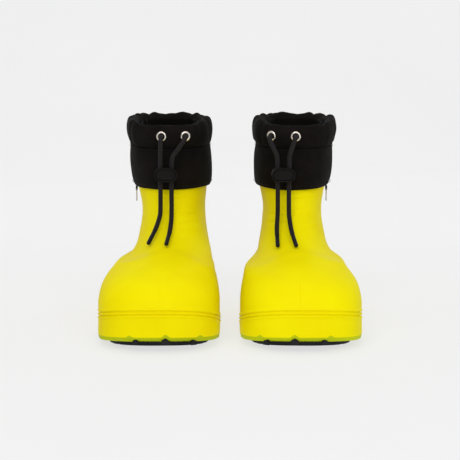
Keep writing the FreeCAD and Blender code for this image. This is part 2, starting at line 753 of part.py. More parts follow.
# ---------------------------------------------------------------- zip
def make_teeth(name, boot):
    """The two rows of teeth, with the slot between them."""
    outer = -size("tape_depth") - size("tape_thickness") / 2 + size("teeth_thickness") / 2
    inner = outer - size("teeth_thickness")
    middle = "(Sizes.tape_low + Sizes.tape_high) / 2"
    lower = make_band(f"{name}_teeth_row_lower", boot, "Sizes.tape_low", f"{middle} - Sizes.slot_gap / 2",
                      outer, inner)
    upper = make_band(f"{name}_teeth_row_upper", boot, f"{middle} + Sizes.slot_gap / 2", "Sizes.tape_high",
                      outer, inner)
    rows = doc.addObject("Part::Compound", f"{name}_zip_teeth")
    rows.Links = [lower, upper]
    doc.recompute()
    return rows


def make_band(label, boot, low, high, outer_offset, inner_offset):
    """A thin upright loop round the shaft, such as a zip tape."""
    body = new_body(label)
    side = boot["side"]
    ring = rim_ring(boot, 0)
    loops = ring.grown(outer_offset).curves(side) + ring.grown(inner_offset).curves(side)
    new_pad(body, new_sketch(body, "loops", "XY_Plane", loops, low), f"{high} - ({low})")
    return body


def flank(boot):
    """The outermost point of the shaft's rim: its x and y."""
    x = boot["side"] * (boot["shaft_centre"] + boot["shaft_half"])
    return x, (size("shaft_front") + size("shaft_back")) / 2


def box_from_flank(label, boot, near, far, length, low, high):
    """A block at the flank, from one distance outside the shell's outline to another."""
    x, y = flank(boot)
    block = doc.addObject("Part::Box", label)
    block.Length = far - near
    block.Width = length
    block.Height = high - low
    corner = x + near if boot["side"] > 0 else x - far
    block.Placement = Placement(Vector(corner, y - length / 2, low), Rotation())
    return block


def cut_object(label, base, tools):
    joined = tools[0]
    if len(tools) > 1:
        joined = doc.addObject("Part::MultiFuse", f"{label}_tools")
        joined.Shapes = tools
    result = doc.addObject("Part::Cut", label)
    result.Base = base
    result.Tool = joined
    doc.recompute()
    return result


def make_slider(name, boot):
    """Two plates either side of the teeth, joined by a thin web that runs between the two rows."""
    length = size("slider_length")
    low = size("tape_low")
    high = size("tape_high")
    near_tape = -size("tape_depth") - size("tape_thickness")
    middle = (low + high) / 2
    web = 0.13
    block = box_from_flank(f"{name}_slider_block", boot, -5.0, 0.4, length, low - 2.2, high + 2.2)
    ways = []
    for i, (bottom, top) in enumerate(((low - 0.4, middle - web), (middle + web, high + 0.4))):
        ways.append(box_from_flank(f"{name}_slider_teeth_way{i}", boot, -4.2, -0.85, length + 2, bottom, top))
    for i, (bottom, top) in enumerate(((low - 4, middle - web), (middle + web, high + 4))):
        ways.append(box_from_flank(f"{name}_slider_tape_way{i}", boot, near_tape - 0.45,
                                   -size("tape_depth") + 0.45, length + 2, bottom, top))
    return cut_object(f"{name}_zip_slider", block, ways)


def make_carrier(name, boot):
    """The black strip that hangs from the slider, with two ears that hold the pull's pin."""
    pivot = size("pull_pivot_z")
    width = size("pull_width")
    ears = width + 2 * size("ear_width")
    offset = size("pull_offset")
    half = size("fork_half")
    strip = box_from_flank(f"{name}_carrier_strip", boot, 0.4, 1.6, ears, pivot + 2, size("tape_low") + 1)
    fork = box_from_flank(f"{name}_carrier_fork", boot, offset - half, offset + half, ears,
                          pivot - 1.2, pivot + 4)
    whole = doc.addObject("Part::Fuse", f"{name}_carrier_whole")
    whole.Base = strip
    whole.Tool = fork
    room = box_from_flank(f"{name}_carrier_room", boot, -1, 4, width + 2 * size("fit_gap"),
                          pivot - 2, pivot + 2.4)
    pin_way = doc.addObject("Part::Cylinder", f"{name}_carrier_pin_way")
    pin_way.setExpression("Radius", "Sizes.pin_radius")
    place_pin(pin_way, boot, ears)
    return cut_object(f"{name}_zip_carrier", whole, [room, pin_way])


def place_pin(cylinder, boot, length):
    x, y = flank(boot)
    cylinder.Height = length
    cylinder.Placement = Placement(
        Vector(x + boot["side"] * size("pull_offset"), y - length / 2, size("pull_pivot_z")),
        Rotation(Vector(0, 0, 1), Vector(0, 1, 0)),
    )


def make_pin(name, boot):
    pin = doc.addObject("Part::Cylinder", f"{name}_zip_pin")
    pin.setExpression("Radius", "Sizes.pin_radius")
    place_pin(pin, boot, size("pull_width") + 2 * size("ear_width"))
    return pin


def make_pull(name, boot):
    """A thin metal tab that hangs on the pin, with a hole near its lower end."""
    pivot = size("pull_pivot_z")
    width = size("pull_width")
    half = size("pull_thickness") / 2
    offset = size("pull_offset")
    eye = doc.addObject("Part::Cylinder", f"{name}_pull_eye")
    eye.Radius = half + 0.55
    place_pin(eye, boot, width)
    tab = box_from_flank(f"{name}_pull_tab", boot, offset - half, offset + half, width,
                         pivot - size("pull_length"), pivot)
    whole = doc.addObject("Part::Fuse", f"{name}_pull_whole")
    whole.Base = tab
    whole.Tool = eye
    bore = doc.addObject("Part::Cylinder", f"{name}_pull_bore")
    bore.setExpression("Radius", "Sizes.pin_radius + 0.06")
    place_pin(bore, boot, width + 2)
    x, y = flank(boot)
    side = boot["side"]
    hole = doc.addObject("Part::Cylinder", f"{name}_pull_hole")
    hole.Radius = 1.4
    hole.Height = 6
    hole.Placement = Placement(Vector(x - 2 * side, y, pivot - size("pull_length") + 2.8),
                               Rotation(Vector(0, 0, 1), Vector(side, 0, 0)))
    return cut_object(f"{name}_zip_pull", whole, [bore, hole])


# ---------------------------------------------------------------- both boots
def make_boot(name, boot):
    outer = -size("tape_depth")
    inner = outer - size("tape_thickness")
    cords = []
    tips = []
    for key in CORD_KEYS:
        route = free_cord_route(name, boot, key)
        cords.append(make_tube(f"{name}_drawcord_{key}", route, "cord_diameter", 0.5))
        tips.append(make_tip(name, key, route))
    return [
        make_shell(name, boot),
        make_outsole(name, boot, "forefoot", size("outsole_front_end"), size("heel_y") + 20),
        make_outsole(name, boot, "heel", size("toe_y") - 20, size("outsole_heel_start")),
        make_liner(name, boot),
        make_footbed(name, boot),
        make_collar_body(name, boot),
        make_collar_lining(name, boot),
        make_tunnel(name, boot),
        make_tube(f"{name}_drawcord_tunnel", passage_route(name, boot), "cord_diameter", 0.5),
        make_eyelets(name, boot),
        make_washers(name, boot),
        *cords,
        *tips,
        make_lock_body(name, boot),
        make_lock_button(name, boot),
        make_lock_spring(name, boot),
        make_band(f"{name}_zip_tape_lower", boot, "Sizes.rim_height", "Sizes.tape_low", outer, inner),
        make_band(f"{name}_zip_tape_upper", boot, "Sizes.tape_high", "Sizes.step_height", outer, inner),
        make_teeth(name, boot),
        make_slider(name, boot),
        make_carrier(name, boot),
        make_pin(name, boot),
        make_pull(name, boot),
    ]


pieces = []
for boot_name, boot_sizes in BOOTS.items():
    pieces += make_boot(boot_name, boot_sizes)
doc.recompute()

for obj in doc.Objects:
    if "Invalid" in obj.State or "Error" in obj.State:
        raise RuntimeError(f"{obj.Label} failed: {obj.State}")

os.makedirs("parts", exist_ok=True)
for piece in pieces:
    if piece.Shape.isNull() or not piece.Shape.isValid():
        raise RuntimeError(f"{piece.Label} has no valid shape")
    piece.Shape.exportStep(f"parts/{piece.Label}.step")
print(len(pieces), "pieces")
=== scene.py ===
"""Looks of a pair of deck boots: foam shells, padded collars with gathered tunnels, drawcords and zips."""

import json
import math

import bmesh
import bpy
import numpy as np
from mathutils import Matrix, Vector, noise


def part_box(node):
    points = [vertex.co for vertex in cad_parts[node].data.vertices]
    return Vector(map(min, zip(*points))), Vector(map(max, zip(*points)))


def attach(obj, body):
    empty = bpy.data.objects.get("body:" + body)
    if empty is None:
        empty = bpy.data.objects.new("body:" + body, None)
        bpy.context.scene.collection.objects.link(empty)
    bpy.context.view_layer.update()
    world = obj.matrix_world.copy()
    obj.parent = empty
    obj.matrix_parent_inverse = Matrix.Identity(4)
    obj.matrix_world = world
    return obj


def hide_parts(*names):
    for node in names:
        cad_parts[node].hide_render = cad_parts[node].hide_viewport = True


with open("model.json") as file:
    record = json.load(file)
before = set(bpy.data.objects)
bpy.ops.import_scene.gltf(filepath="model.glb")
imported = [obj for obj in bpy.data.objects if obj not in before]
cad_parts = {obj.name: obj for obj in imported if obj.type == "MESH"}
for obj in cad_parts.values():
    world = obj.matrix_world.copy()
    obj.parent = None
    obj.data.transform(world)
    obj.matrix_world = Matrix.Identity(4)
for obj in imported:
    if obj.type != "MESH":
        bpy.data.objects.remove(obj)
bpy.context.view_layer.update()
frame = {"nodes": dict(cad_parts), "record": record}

MM = 0.001

# -------------------- dimensions, in millimetres
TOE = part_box("right_eva_shell")[0].y / MM
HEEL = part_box("right_eva_shell")[1].y / MM
RIM = 160.0
COLLAR_TOP = 237.5
SEAM = 207.7
HEM = 157.5
GROUND_GAP = 4.5
SPRING_START = -58.0
SPRING_RADIUS = 592.0
WALL = 6.5
FOREFOOT_HALF = 67.2
FOREFOOT_CENTRE = 79.2
HEEL_HALF = 47.5
SHAFT_FRONT = 8.0
SHAFT_BACK = 131.0
SHELL_COLUMNS = 336
BOOTS = {
    "right": {"side": -1, "shaft_centre": 68.8, "shaft_half": 41.3, "lean": 3.6, "waist_centre": 66.9,
              "waist_half": 37.4, "seed": 3.0},
    "left": {"side": 1, "shaft_centre": 74.0, "shaft_half": 39.6, "lean": 3.0, "waist_centre": 73.8,
             "waist_half": 34.8, "seed": 11.0},
}
CORD_DIAMETER = 5.2
# Route points of the free cords, each (distance from the middle of the pair, y, z).
CORD_ROUTES = {
    "right": {
        "outer": [
            (78.9, -1.2, 221.0), (79.2, -7.2, 221.0), (79.5, -11.3, 216.9), (79.5, -12.6, 208.0),
            (79.85, -12.0, 197.0), (79.85, -12.0, 134.0), (82.6, -15.2, 121.0), (86.5, -22.2, 113.8),
        ],
        "inner": [
            (51.5, 1.4, 221.0), (50.0, -4.4, 221.0), (52.4, -8.4, 217.2), (59.0, -11.2, 208.0),
            (67.15, -12.0, 197.0), (67.15, -12.0, 134.0), (67.4, -22.0, 119.0), (69.3, -31.8, 112.6),
        ],
    },
    "left": {
        "outer": [
            (75.7, -1.4, 221.0), (75.4, -7.4, 221.0), (74.2, -11.4, 217.2), (70.6, -12.5, 208.5),
            (67.65, -12.0, 197.0), (67.65, -12.0, 134.0), (68.9, -23.5, 118.3), (71.4, -33.6, 111.4),
        ],
        "inner": [
            (48.2, 6.2, 221.0), (45.2, 1.2, 221.0), (45.4, -4.2, 218.0), (49.4, -9.6, 209.5),
            (54.95, -12.0, 197.5), (54.95, -12.0, 134.0), (54.2, -13.5, 122.0), (53.7, -18.2, 114.5),
            (53.9, -26.8, 109.5),
        ],
    },
}
# The ends of the straight run that the lock slides along pull the curve closer than the other points do.
ROUTE_WEIGHTS = {4: 3.2, 5: 4.2}


# -------------------- camera, light and floor
def make_camera():
    data = bpy.data.cameras.new("camera")
    data.lens = 135
    data.sensor_width = 36
    camera = bpy.data.objects.new("camera", data)
    elevation = math.radians(8.5)
    aim = Vector((0, 0, 0.112))
    camera.location = aim + 2.0 * Vector((0, -math.cos(elevation), math.sin(elevation)))
    camera.rotation_euler = (aim - camera.location).to_track_quat("-Z", "Y").to_euler()
    bpy.context.scene.collection.objects.link(camera)
    bpy.context.scene.camera = camera


def make_light(name, place, size, power, aim=(0, 0, 0.1)):
    data = bpy.data.lights.new(name, "AREA")
    data.size = size
    data.energy = power
    light = bpy.data.objects.new(name, data)
    light.location = place
    light.rotation_euler = (Vector(aim) - Vector(place)).to_track_quat("-Z", "Y").to_euler()
    bpy.context.scene.collection.objects.link(light)


def make_world():
    world = bpy.data.worlds.new("studio")
    bpy.context.scene.world = world
    world.use_nodes = True
    background = world.node_tree.nodes["Background"]
    background.inputs["Color"].default_value = (0.9, 0.9, 0.9, 1)
    background.inputs["Strength"].default_value = 0.5
    bpy.context.scene.view_settings.view_transform = "Standard"


# -------------------- materials
class Shader:
    """A material under construction: its Principled shader and short ways to add nodes."""

    def __init__(self, name, **sockets):
        self.material = bpy.data.materials.new(name)
        self.material.use_nodes = True
        self.tree = self.material.node_tree
        self.shader = self.tree.nodes["Principled BSDF"]
        for socket, value in sockets.items():
            self.shader.inputs[socket.replace("_", " ")].default_value = value
        self.place = self.add("ShaderNodeTexCoord").outputs["Object"]

    def add(self, kind, **values):
        node = self.tree.nodes.new(kind)
        for key, value in values.items():
            if key in node.inputs:
                node.inputs[key].default_value = value
            else:
                setattr(node, key, value)
        return node

    def link(self, out, into):
        self.tree.links.new(out, into)

    def noise(self, scale, detail=4.0, roughness=0.55):
        node = self.add("ShaderNodeTexNoise", Scale=scale, Detail=detail, Roughness=roughness)
        self.link(self.place, node.inputs["Vector"])
        return node.outputs["Fac"]

    def wave(self, scale, direction, distortion=0.0):
        node = self.add("ShaderNodeTexWave", Scale=scale, Distortion=distortion, bands_direction=direction)
        self.link(self.place, node.inputs["Vector"])
        return node.outputs["Fac"]

    def math(self, operation, a, b):
        node = self.add("ShaderNodeMath", operation=operation)
        for socket, value in zip(node.inputs, (a, b)):
            if isinstance(value, (int, float)):
                socket.default_value = value
            else:
                self.link(value, socket)
        return node.outputs[0]

    def ramp(self, factor, stops):
        """Colour by a factor; each stop is (position, colour)."""
        node = self.add("ShaderNodeValToRGB")
        elements = node.color_ramp.elements
        while len(elements) < len(stops):
            elements.new(0.5)
        for element, (position, colour) in zip(elements, stops):
            element.position = position
            element.color = (*colour, 1)
        self.link(factor, node.inputs["Fac"])
        return node.outputs["Color"]

    def colour(self, source):
        self.link(source, self.shader.inputs["Base Color"])

    def rough(self, factor, low, high):
        node = self.add("ShaderNodeMapRange")
        node.inputs["To Min"].default_value = low
        node.inputs["To Max"].default_value = high
        self.link(factor, node.inputs["Value"])
        self.link(node.outputs["Result"], self.shader.inputs["Roughness"])

    def bump(self, height, distance, strength=1.0):
        node = self.add("ShaderNodeBump", Distance=distance, Strength=strength)
        self.link(height, node.inputs["Height"])
        self.link(node.outputs["Normal"], self.shader.inputs["Normal"])


def foam_material(name, deep, middle, bright):
    """Moulded foam: satin, very finely pebbled, with a slight change of tone over the surface."""
    s = Shader(name, Specular_IOR_Level=0.012)
    cloudy = s.noise(9.0, 3.0)
    s.colour(s.ramp(cloudy, [(0.28, deep), (0.5, middle), (0.72, bright)]))
    s.rough(s.noise(60.0), 0.36, 0.5)
    pebble = s.noise(900.0, 3.0)
    swell = s.noise(45.0, 2.0)
    s.bump(s.math("ADD", s.math("MULTIPLY", pebble, 0.25), swell), 0.0005, 0.35)
    return s.material


def rubber_material():
    s = Shader("black_rubber", Specular_IOR_Level=0.2)
    s.colour(s.ramp(s.noise(70.0), [(0.3, (0.0045, 0.0045, 0.005)), (0.7, (0.011, 0.011, 0.012))]))
    s.rough(s.noise(160.0), 0.5, 0.75)
    s.bump(s.noise(1100.0, 3.0), 0.0003, 0.5)
    return s.material


def nylon_material(name, dark, light, weave=1500.0, strength=0.45):
    """Matt woven nylon: two crossed sets of fine ribs, uneven tone, and a faint fuzz at grazing angles."""
    s = Shader(name, Specular_IOR_Level=0.05, Sheen_Weight=0.008, Sheen_Roughness=0.5)
    warp = s.wave(weave / 2, "X", 0.4)
    weft = s.wave(weave / 2, "Z", 0.4)
    woven = s.math("MAXIMUM", warp, weft)
    tone = s.math("ADD", s.math("MULTIPLY", s.noise(38.0, 5.0), 0.75), s.math("MULTIPLY", woven, 0.25))
    s.colour(s.ramp(tone, [(0.3, dark), (0.75, light)]))
    s.rough(s.noise(120.0), 0.72, 0.9)
    s.bump(s.math("ADD", s.math("MULTIPLY", woven, 0.4), s.noise(420.0, 4.0)), 0.0004, strength)
    return s.material


def felt_material(name, dark, light):
    s = Shader(name, Specular_IOR_Level=0.1, Sheen_Weight=0.08, Sheen_Roughness=0.6)
    fibres = s.noise(700.0, 6.0, 0.7)
    s.colour(s.ramp(fibres, [(0.35, dark), (0.7, light)]))
    s.rough(s.noise(90.0), 0.85, 0.98)
    s.bump(fibres, 0.0006, 0.6)
    return s.material


def cord_material():
    """Braided polyester: charcoal with single paler yarns."""
    s = Shader("black_cord", Specular_IOR_Level=0.12, Sheen_Weight=0.03, Sheen_Roughness=0.4)
    yarn = s.noise(1300.0, 3.0)
    s.colour(s.ramp(yarn, [(0.3, (0.006, 0.0045, 0.005)), (0.7, (0.020, 0.016, 0.018))]))
    s.rough(s.noise(400.0), 0.55, 0.75)
    s.bump(yarn, 0.0002, 0.5)
    return s.material


def plastic_material(name, dark, light, low, high, grain):
    s = Shader(name, Specular_IOR_Level=0.1)
    s.colour(s.ramp(s.noise(80.0), [(0.3, dark), (0.7, light)]))
    s.rough(s.noise(220.0), low, high)
    s.bump(s.noise(grain, 3.0), 0.0002, 0.3)
    return s.material


def metal_material(name, dark, light, low, high):
    """Plated metal with faint scratches and worn, slightly paler places."""
    s = Shader(name, Metallic=1.0)
    s.colour(s.ramp(s.noise(260.0, 5.0), [(0.3, dark), (0.7, light)]))
    scratches = s.wave(380.0, "Z", 9.0)
    s.rough(s.math("MULTIPLY", scratches, s.noise(500.0)), low, high)
    s.bump(scratches, 0.00008, 0.3)
    return s.material


def floor_material():
    s = Shader("pale_floor", Roughness=0.9, Specular_IOR_Level=0.02, Emission_Strength=0.67)
    s.shader.inputs["Emission Color"].default_value = (1, 1, 1, 1)
    s.colour(s.ramp(s.noise(3.0, 2.0), [(0.3, (0.21, 0.21, 0.21)), (0.7, (0.22, 0.22, 0.22))]))
    return s.material


MATERIALS = {
    "black_rubber": rubber_material(),
    "black_cord": cord_material(),
    "stitching": cord_material(),
    "pale_floor": floor_material(),
}
# Tones from dark to light, then what each kind of material takes besides.
RECIPES = (
    (foam_material, "yellow_eva", (0.81, 0.655, 0.0015), (0.85, 0.73, 0.0015), (0.88, 0.785, 0.002)),
    # Painted shade: a darker, greener copy of the yellow foam, for the bevel that faces down.
    (foam_material, "shaded_bevel_eva", (0.42, 0.47, 0.006), (0.50, 0.57, 0.007), (0.58, 0.65, 0.008)),
    (felt_material, "footbed_foam", (0.012, 0.012, 0.013), (0.035, 0.035, 0.036)),
    (felt_material, "liner_felt", (0.010, 0.010, 0.011), (0.03, 0.029, 0.029)),
    (nylon_material, "black_nylon", (0.0026, 0.0020, 0.0018), (0.0085, 0.0066, 0.0060)),
    (nylon_material, "lining_fabric", (0.002, 0.0017, 0.0015), (0.006, 0.005, 0.0045), 2200.0, 0.3),
    (nylon_material, "zip_tape", (0.006, 0.006, 0.006), (0.016, 0.015, 0.015), 2600.0, 0.4),
    (plastic_material, "tip_plastic", (0.006, 0.006, 0.008), (0.012, 0.012, 0.016), 0.18, 0.32, 600.0),
    (plastic_material, "lock_plastic", (0.003, 0.0026, 0.0026), (0.006, 0.0052, 0.005), 0.42, 0.6, 900.0),
    (plastic_material, "zip_teeth", (0.008, 0.008, 0.009), (0.016, 0.016, 0.017), 0.25, 0.4, 700.0),
    (plastic_material, "carrier_black", (0.01, 0.01, 0.011), (0.02, 0.02, 0.021), 0.3, 0.45, 800.0),
    (metal_material, "pale_metal", (0.55, 0.47, 0.38), (0.86, 0.82, 0.76), 0.12, 0.32),
    (metal_material, "spring_steel", (0.5, 0.5, 0.52), (0.75, 0.75, 0.76), 0.15, 0.3),
    (metal_material, "zip_metal", (0.34, 0.29, 0.21), (0.62, 0.56, 0.46), 0.2, 0.42),
)
for make, slot, *tones in RECIPES:
    MATERIALS[slot] = make(slot, *tones)


# -------------------- mesh helpers
def add_object(name, mesh, *materials):
    for material in materials:
        mesh.materials.append(MATERIALS[material])
    piece = bpy.data.objects.new(name, mesh)
    bpy.context.scene.collection.objects.link(piece)
    return piece


def grid_mesh(name, grid, loop_rows=False, caps=()):
    """A mesh through a grid of points in millimetres, rows by columns, closed round the columns."""
    rows, columns, _ = grid.shape
    points = (grid.reshape(-1, 3) * MM).tolist()
    faces = []
    for r in range(rows if loop_rows else rows - 1):
        below = r * columns
        above = (r + 1) % rows * columns
        for c in range(columns):
            d = (c + 1) % columns
            faces.append((below + c, below + d, above + d, above + c))
    if "first" in caps:
        faces.append(tuple(range(columns))[::-1])
    if "last" in caps:
        faces.append(tuple(range((rows - 1) * columns, rows * columns)))
    mesh = bpy.data.meshes.new(name)
    mesh.from_pydata(points, [], faces)
    mesh.polygons.foreach_set("use_smooth", [True] * len(faces))
    return mesh


def tidy_normals(mesh):
    work = bmesh.new()
    work.from_mesh(mesh)
    bmesh.ops.recalc_face_normals(work, faces=work.faces)
    work.to_mesh(mesh)
    work.free()


def grid_object(name, grid, material, loop_rows=False, caps=()):
    mesh = grid_mesh(name, grid, loop_rows, caps)
    tidy_normals(mesh)
    return add_object(name, mesh, material)


def mesh_from(work, name, smooth=True):
    mesh = bpy.data.meshes.new(name)
    work.to_mesh(mesh)
    work.free()
    if smooth:
        mesh.shade_smooth()
    return mesh


def finish_piece(piece, body, slot, *nodes):
    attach(piece, body)
    if nodes:
        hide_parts(*nodes)


def grid_normals(grid):
    """Outward unit normals of a grid that is closed round its columns."""
    along = np.roll(grid, -1, axis=1) - np.roll(grid, 1, axis=1)
    up = np.gradient(grid, axis=0)
    normals = np.cross(along, up)
    normals /= np.maximum(np.linalg.norm(normals, axis=2, keepdims=True), 1e-9)
    middle = grid.mean(axis=1, keepdims=True)
    outward = np.sum((grid - middle) * normals, axis=2).mean()
    return normals if outward > 0 else -normals


def radial_directions(grid):
    """Level unit directions away from the middle of each row of a grid."""
    radial = grid - grid.mean(axis=1, keepdims=True)
    radial[..., 2] = 0
    return radial / np.maximum(np.linalg.norm(radial, axis=2, keepdims=True), 1e-6)


def smooth_step(value, low, high):
    share = np.clip((value - low) / (high - low), 0, 1)
    return share * share * (3 - 2 * share)


def dents(grid, scale, seed):
    """Smooth random heights, from about -1 to 1, at the points of a grid."""
    flat = grid.reshape(-1, 3) / scale + seed
    heights = [noise.noise(Vector(point)) for point in flat.tolist()]
    return np.array(heights).reshape(grid.shape[:2])


def apply_modifiers(piece):
    bpy.context.view_layer.update()
    graph = bpy.context.evaluated_depsgraph_get()
    mesh = bpy.data.meshes.new_from_object(piece.evaluated_get(graph))
    piece.modifiers.clear()
    piece.data = mesh
    return piece


# -------------------- outlines of the boot
def shell_rows(boot):
    """Rows from the sole up: height, then front, back, widest place, half widths, centres and bluntness."""
    wide = FOREFOOT_HALF
    middle = FOREFOOT_CENTRE
    heel = HEEL_HALF
    waist = boot["waist_half"]
    c = boot["waist_centre"]
    h = c + 4.5
    rim_half = boot["shaft_half"]
    rim_c = boot["shaft_centre"]
    flare = waist + 0.43 * (rim_half - waist)
    flare_c = (c + rim_c) / 2
    back = SHAFT_BACK
    shaft_middle = (SHAFT_FRONT + SHAFT_BACK) / 2
    return np.array([
        (0, TOE + 4, HEEL - 4, -75, wide + 0.8, heel - 1.5, middle, h, 2.8, 3.8),
        (14, TOE + 1, HEEL - 1, -75, wide + 1.1, heel, middle, h, 2.8, 3.8),
        (32, TOE + 0.4, HEEL, -75, wide + 0.7, heel + 0.3, middle, h, 2.7, 3.8),
        (50, TOE + 2, HEEL - 2, -75, wide + 0.3, heel - 0.7, middle, h, 2.5, 3.6),
        (66, TOE + 12, HEEL - 6, -64, wide - 3.5, heel - 2.2, middle - 1.2, c + 3.5, 2.35, 3.3),
        (78, TOE + 29, HEEL - 9.5, -46, wide - 10.5, heel - 3.2, middle - 4, c + 2.2, 2.2, 3.0),
        (87, TOE + 54, HEEL - 12, -16, waist + 12, waist + 6.6, c + 3.5, c + 1, 2.1, 2.8),
        (94, TOE + 90, HEEL - 14, 16, waist + 7, waist + 5, c + 1.5, c + 0.5, 2.1, 2.6),
        (104, -34, HEEL - 17, 44, waist + 3, waist + 3, c + 0.5, c, 2.1, 2.3),
        (118, -14, back + 4, 58, waist + 0.5, waist + 0.5, c, c, 2.05, 2.1),
        (135, -2, back + 1, 65, waist, waist, c + 0.3, c + 0.3, 2.0, 2.0),
        (148, 3, back + 0.6, 67.3, flare, flare, flare_c, flare_c, 2.0, 2.0),
        (RIM, SHAFT_FRONT, back, shaft_middle, rim_half, rim_half, rim_c, rim_c, 2.0, 2.0),
    ])


def smooth_rows(rows, heights):
    """The outline's values at any heights: a smooth curve through the rows."""
    z = rows[:, 0]
    values = rows[:, 1:]
    steps = np.diff(z)[:, None]
    slopes = np.diff(values, axis=0) / steps
    tangents = np.zeros_like(values)
    tangents[0] = slopes[0]
    tangents[-1] = slopes[-1]
    tangents[1:-1] = (slopes[:-1] * steps[1:] + slopes[1:] * steps[:-1]) / (steps[:-1] + steps[1:])
    index = np.clip(np.searchsorted(z, heights) - 1, 0, len(z) - 2)
    step = steps[index, 0]
    share = ((np.clip(heights, z[0], z[-1]) - z[index]) / step)[..., None]
    a = values[index]
    b = values[index + 1]
    ta = tangents[index] * step[..., None]
    tb = tangents[index + 1] * step[..., None]
    s2 = share * share
    s3 = s2 * share
    return (2 * s3 - 3 * s2 + 1) * a + (s3 - 2 * s2 + share) * ta + (3 * s2 - 2 * s3) * b + (s3 - s2) * tb


def outline(values, turns, side, grow=0.0):
    """Points (x, y) on superellipse halves, at angles from the toe that are positive on the outer side."""
    (front, back, widest, half, heel_half, centre, heel_centre,
     blunt_front, blunt_back) = np.moveaxis(values, -1, 0)
    along = np.cos(turns)
    across = np.sin(turns)
    to_front = along >= 0
    power = 2 / np.where(to_front, blunt_front, blunt_back)
    reach = np.where(to_front, front - grow, back + grow) - widest
    y = widest + reach * np.abs(along) ** power
    share = np.where(to_front, 0, smooth_step(y - widest, 0, 0.55 * np.abs(reach)))
    width = half + grow + (heel_half - half) * share
    middle = centre + (heel_centre - centre) * share
    out = np.copysign(np.abs(across) ** power, across) * width
    return side * (middle + out), y


def even_turns(values, count):
    """Angles that are evenly spaced along an outline."""
    fine = np.linspace(-math.pi, math.pi, 6001)
    x, y = outline(values, fine, 1)
    length = np.concatenate([[0], np.cumsum(np.hypot(np.diff(x), np.diff(y)))])
    return np.interp(np.arange(count) / count * length[-1], length, fine)


def rim_values(boot, heights):
    """The rim's outline carried up into the collar, leaning outwards with height."""
    share = np.clip((heights - RIM) / (COLLAR_TOP - RIM), 0, None)
    values = np.broadcast_to(shell_rows(boot)[-1, 1:], (*np.shape(heights), 9)).copy()
    values[..., 5] += boot["lean"] * share
    values[..., 6] = values[..., 5]
    blunt = 2.0 + 0.5 * np.minimum(1, share * 1.6)
    values[..., 7] = blunt
    values[..., 8] = blunt
    return values


def ring_grid(boot, profile, turns):
    """Grid round the collar: one row for each (height, distance outside the rim's outline)."""
    rows = []
    for height, grow in profile:
        heights = np.full(turns.shape, float(height))
        x, y = outline(rim_values(boot, heights), turns, boot["side"], grow)
        rows.append(np.stack([x, y, heights], axis=-1))
    return np.array(rows)


def eased(points, count):
    """A smooth profile through a few (height, distance) points, with even steps."""
    points = np.array(points, float)
    spans = np.concatenate([[0], np.cumsum(np.hypot(*np.diff(points, axis=0).T))])
    at = np.linspace(0, spans[-1], count)
    padded = np.vstack([2 * points[0] - points[1], points, 2 * points[-1] - points[-2]])
    index = np.clip(np.searchsorted(spans, at, side="right") - 1, 0, len(points) - 2)
    share = ((at - spans[index]) / (spans[index + 1] - spans[index]))[:, None]
    p0, p1, p2, p3 = (padded[index + k] for k in range(4))
    return 0.5 * (2 * p1 + (p2 - p0) * share + (2 * p0 - 5 * p1 + 4 * p2 - p3) * share ** 2
                  + (3 * p1 - p0 - 3 * p2 + p3) * share ** 3)


# -------------------- moulded shell
RIDGE_PITCH = 3.9
BEVEL = 5.6
MOULD_LINE = 76.0
MOULD_LINE_START = 47.5
MOULD_LINE_RISE = 31.0
BEVEL_ROWS = 12
# Each (distance outwards from the forefoot's centre, width, height).
PEAKS = ((29.0, 7.5, 2.6), (-9.0, 9.0, 3.6), (-46.0, 7.5, 2.6))
NOTCHES = ((23.5, 8.0, 3.2), (-9.0, 10.5, 4.8), (-39.5, 8.0, 3.2))
CREASES = (
    # inward offset of both ends from the shaft's centre, their heights, upward bow, depth
    (-22, 12, 137.5, 136.0, 1.5, 0.9),
    (-14, 30, 131.5, 127.0, 2.5, 1.6),
    (4, 32, 122.5, 117.0, 2.5, 1.3),
    (-30, -8, 113.0, 116.5, 1.5, 1.0),
    (-28, 24, 149.5, 149.0, 0.6, 0.7),
)


def underside(y):
    """Height of the foam's lower edge: level, then rising to the toe."""
    ahead = np.clip(SPRING_START - y, 0, None)
    return GROUND_GAP + SPRING_RADIUS - np.sqrt(SPRING_RADIUS ** 2 - ahead ** 2)


def groove_line(y, turns):
    """Height of the rand's middle ridge: an arch over the toe, low along the sides."""
    side_height = 24.5 + 3.0 * np.sin(turns)
    rise = np.clip((-62 - y) / 93, 0, 1) ** 1.25
    return side_height + (44.4 - side_height) * rise


def cap_line(turns):
    """Height of the toe cap's upper edge, lower on the inner side."""
    drop = np.where(turns > 0, 12.5, 16.5)
    return 97.0 - drop * np.sin(np.clip(np.abs(turns), 0, math.pi / 2)) ** 2


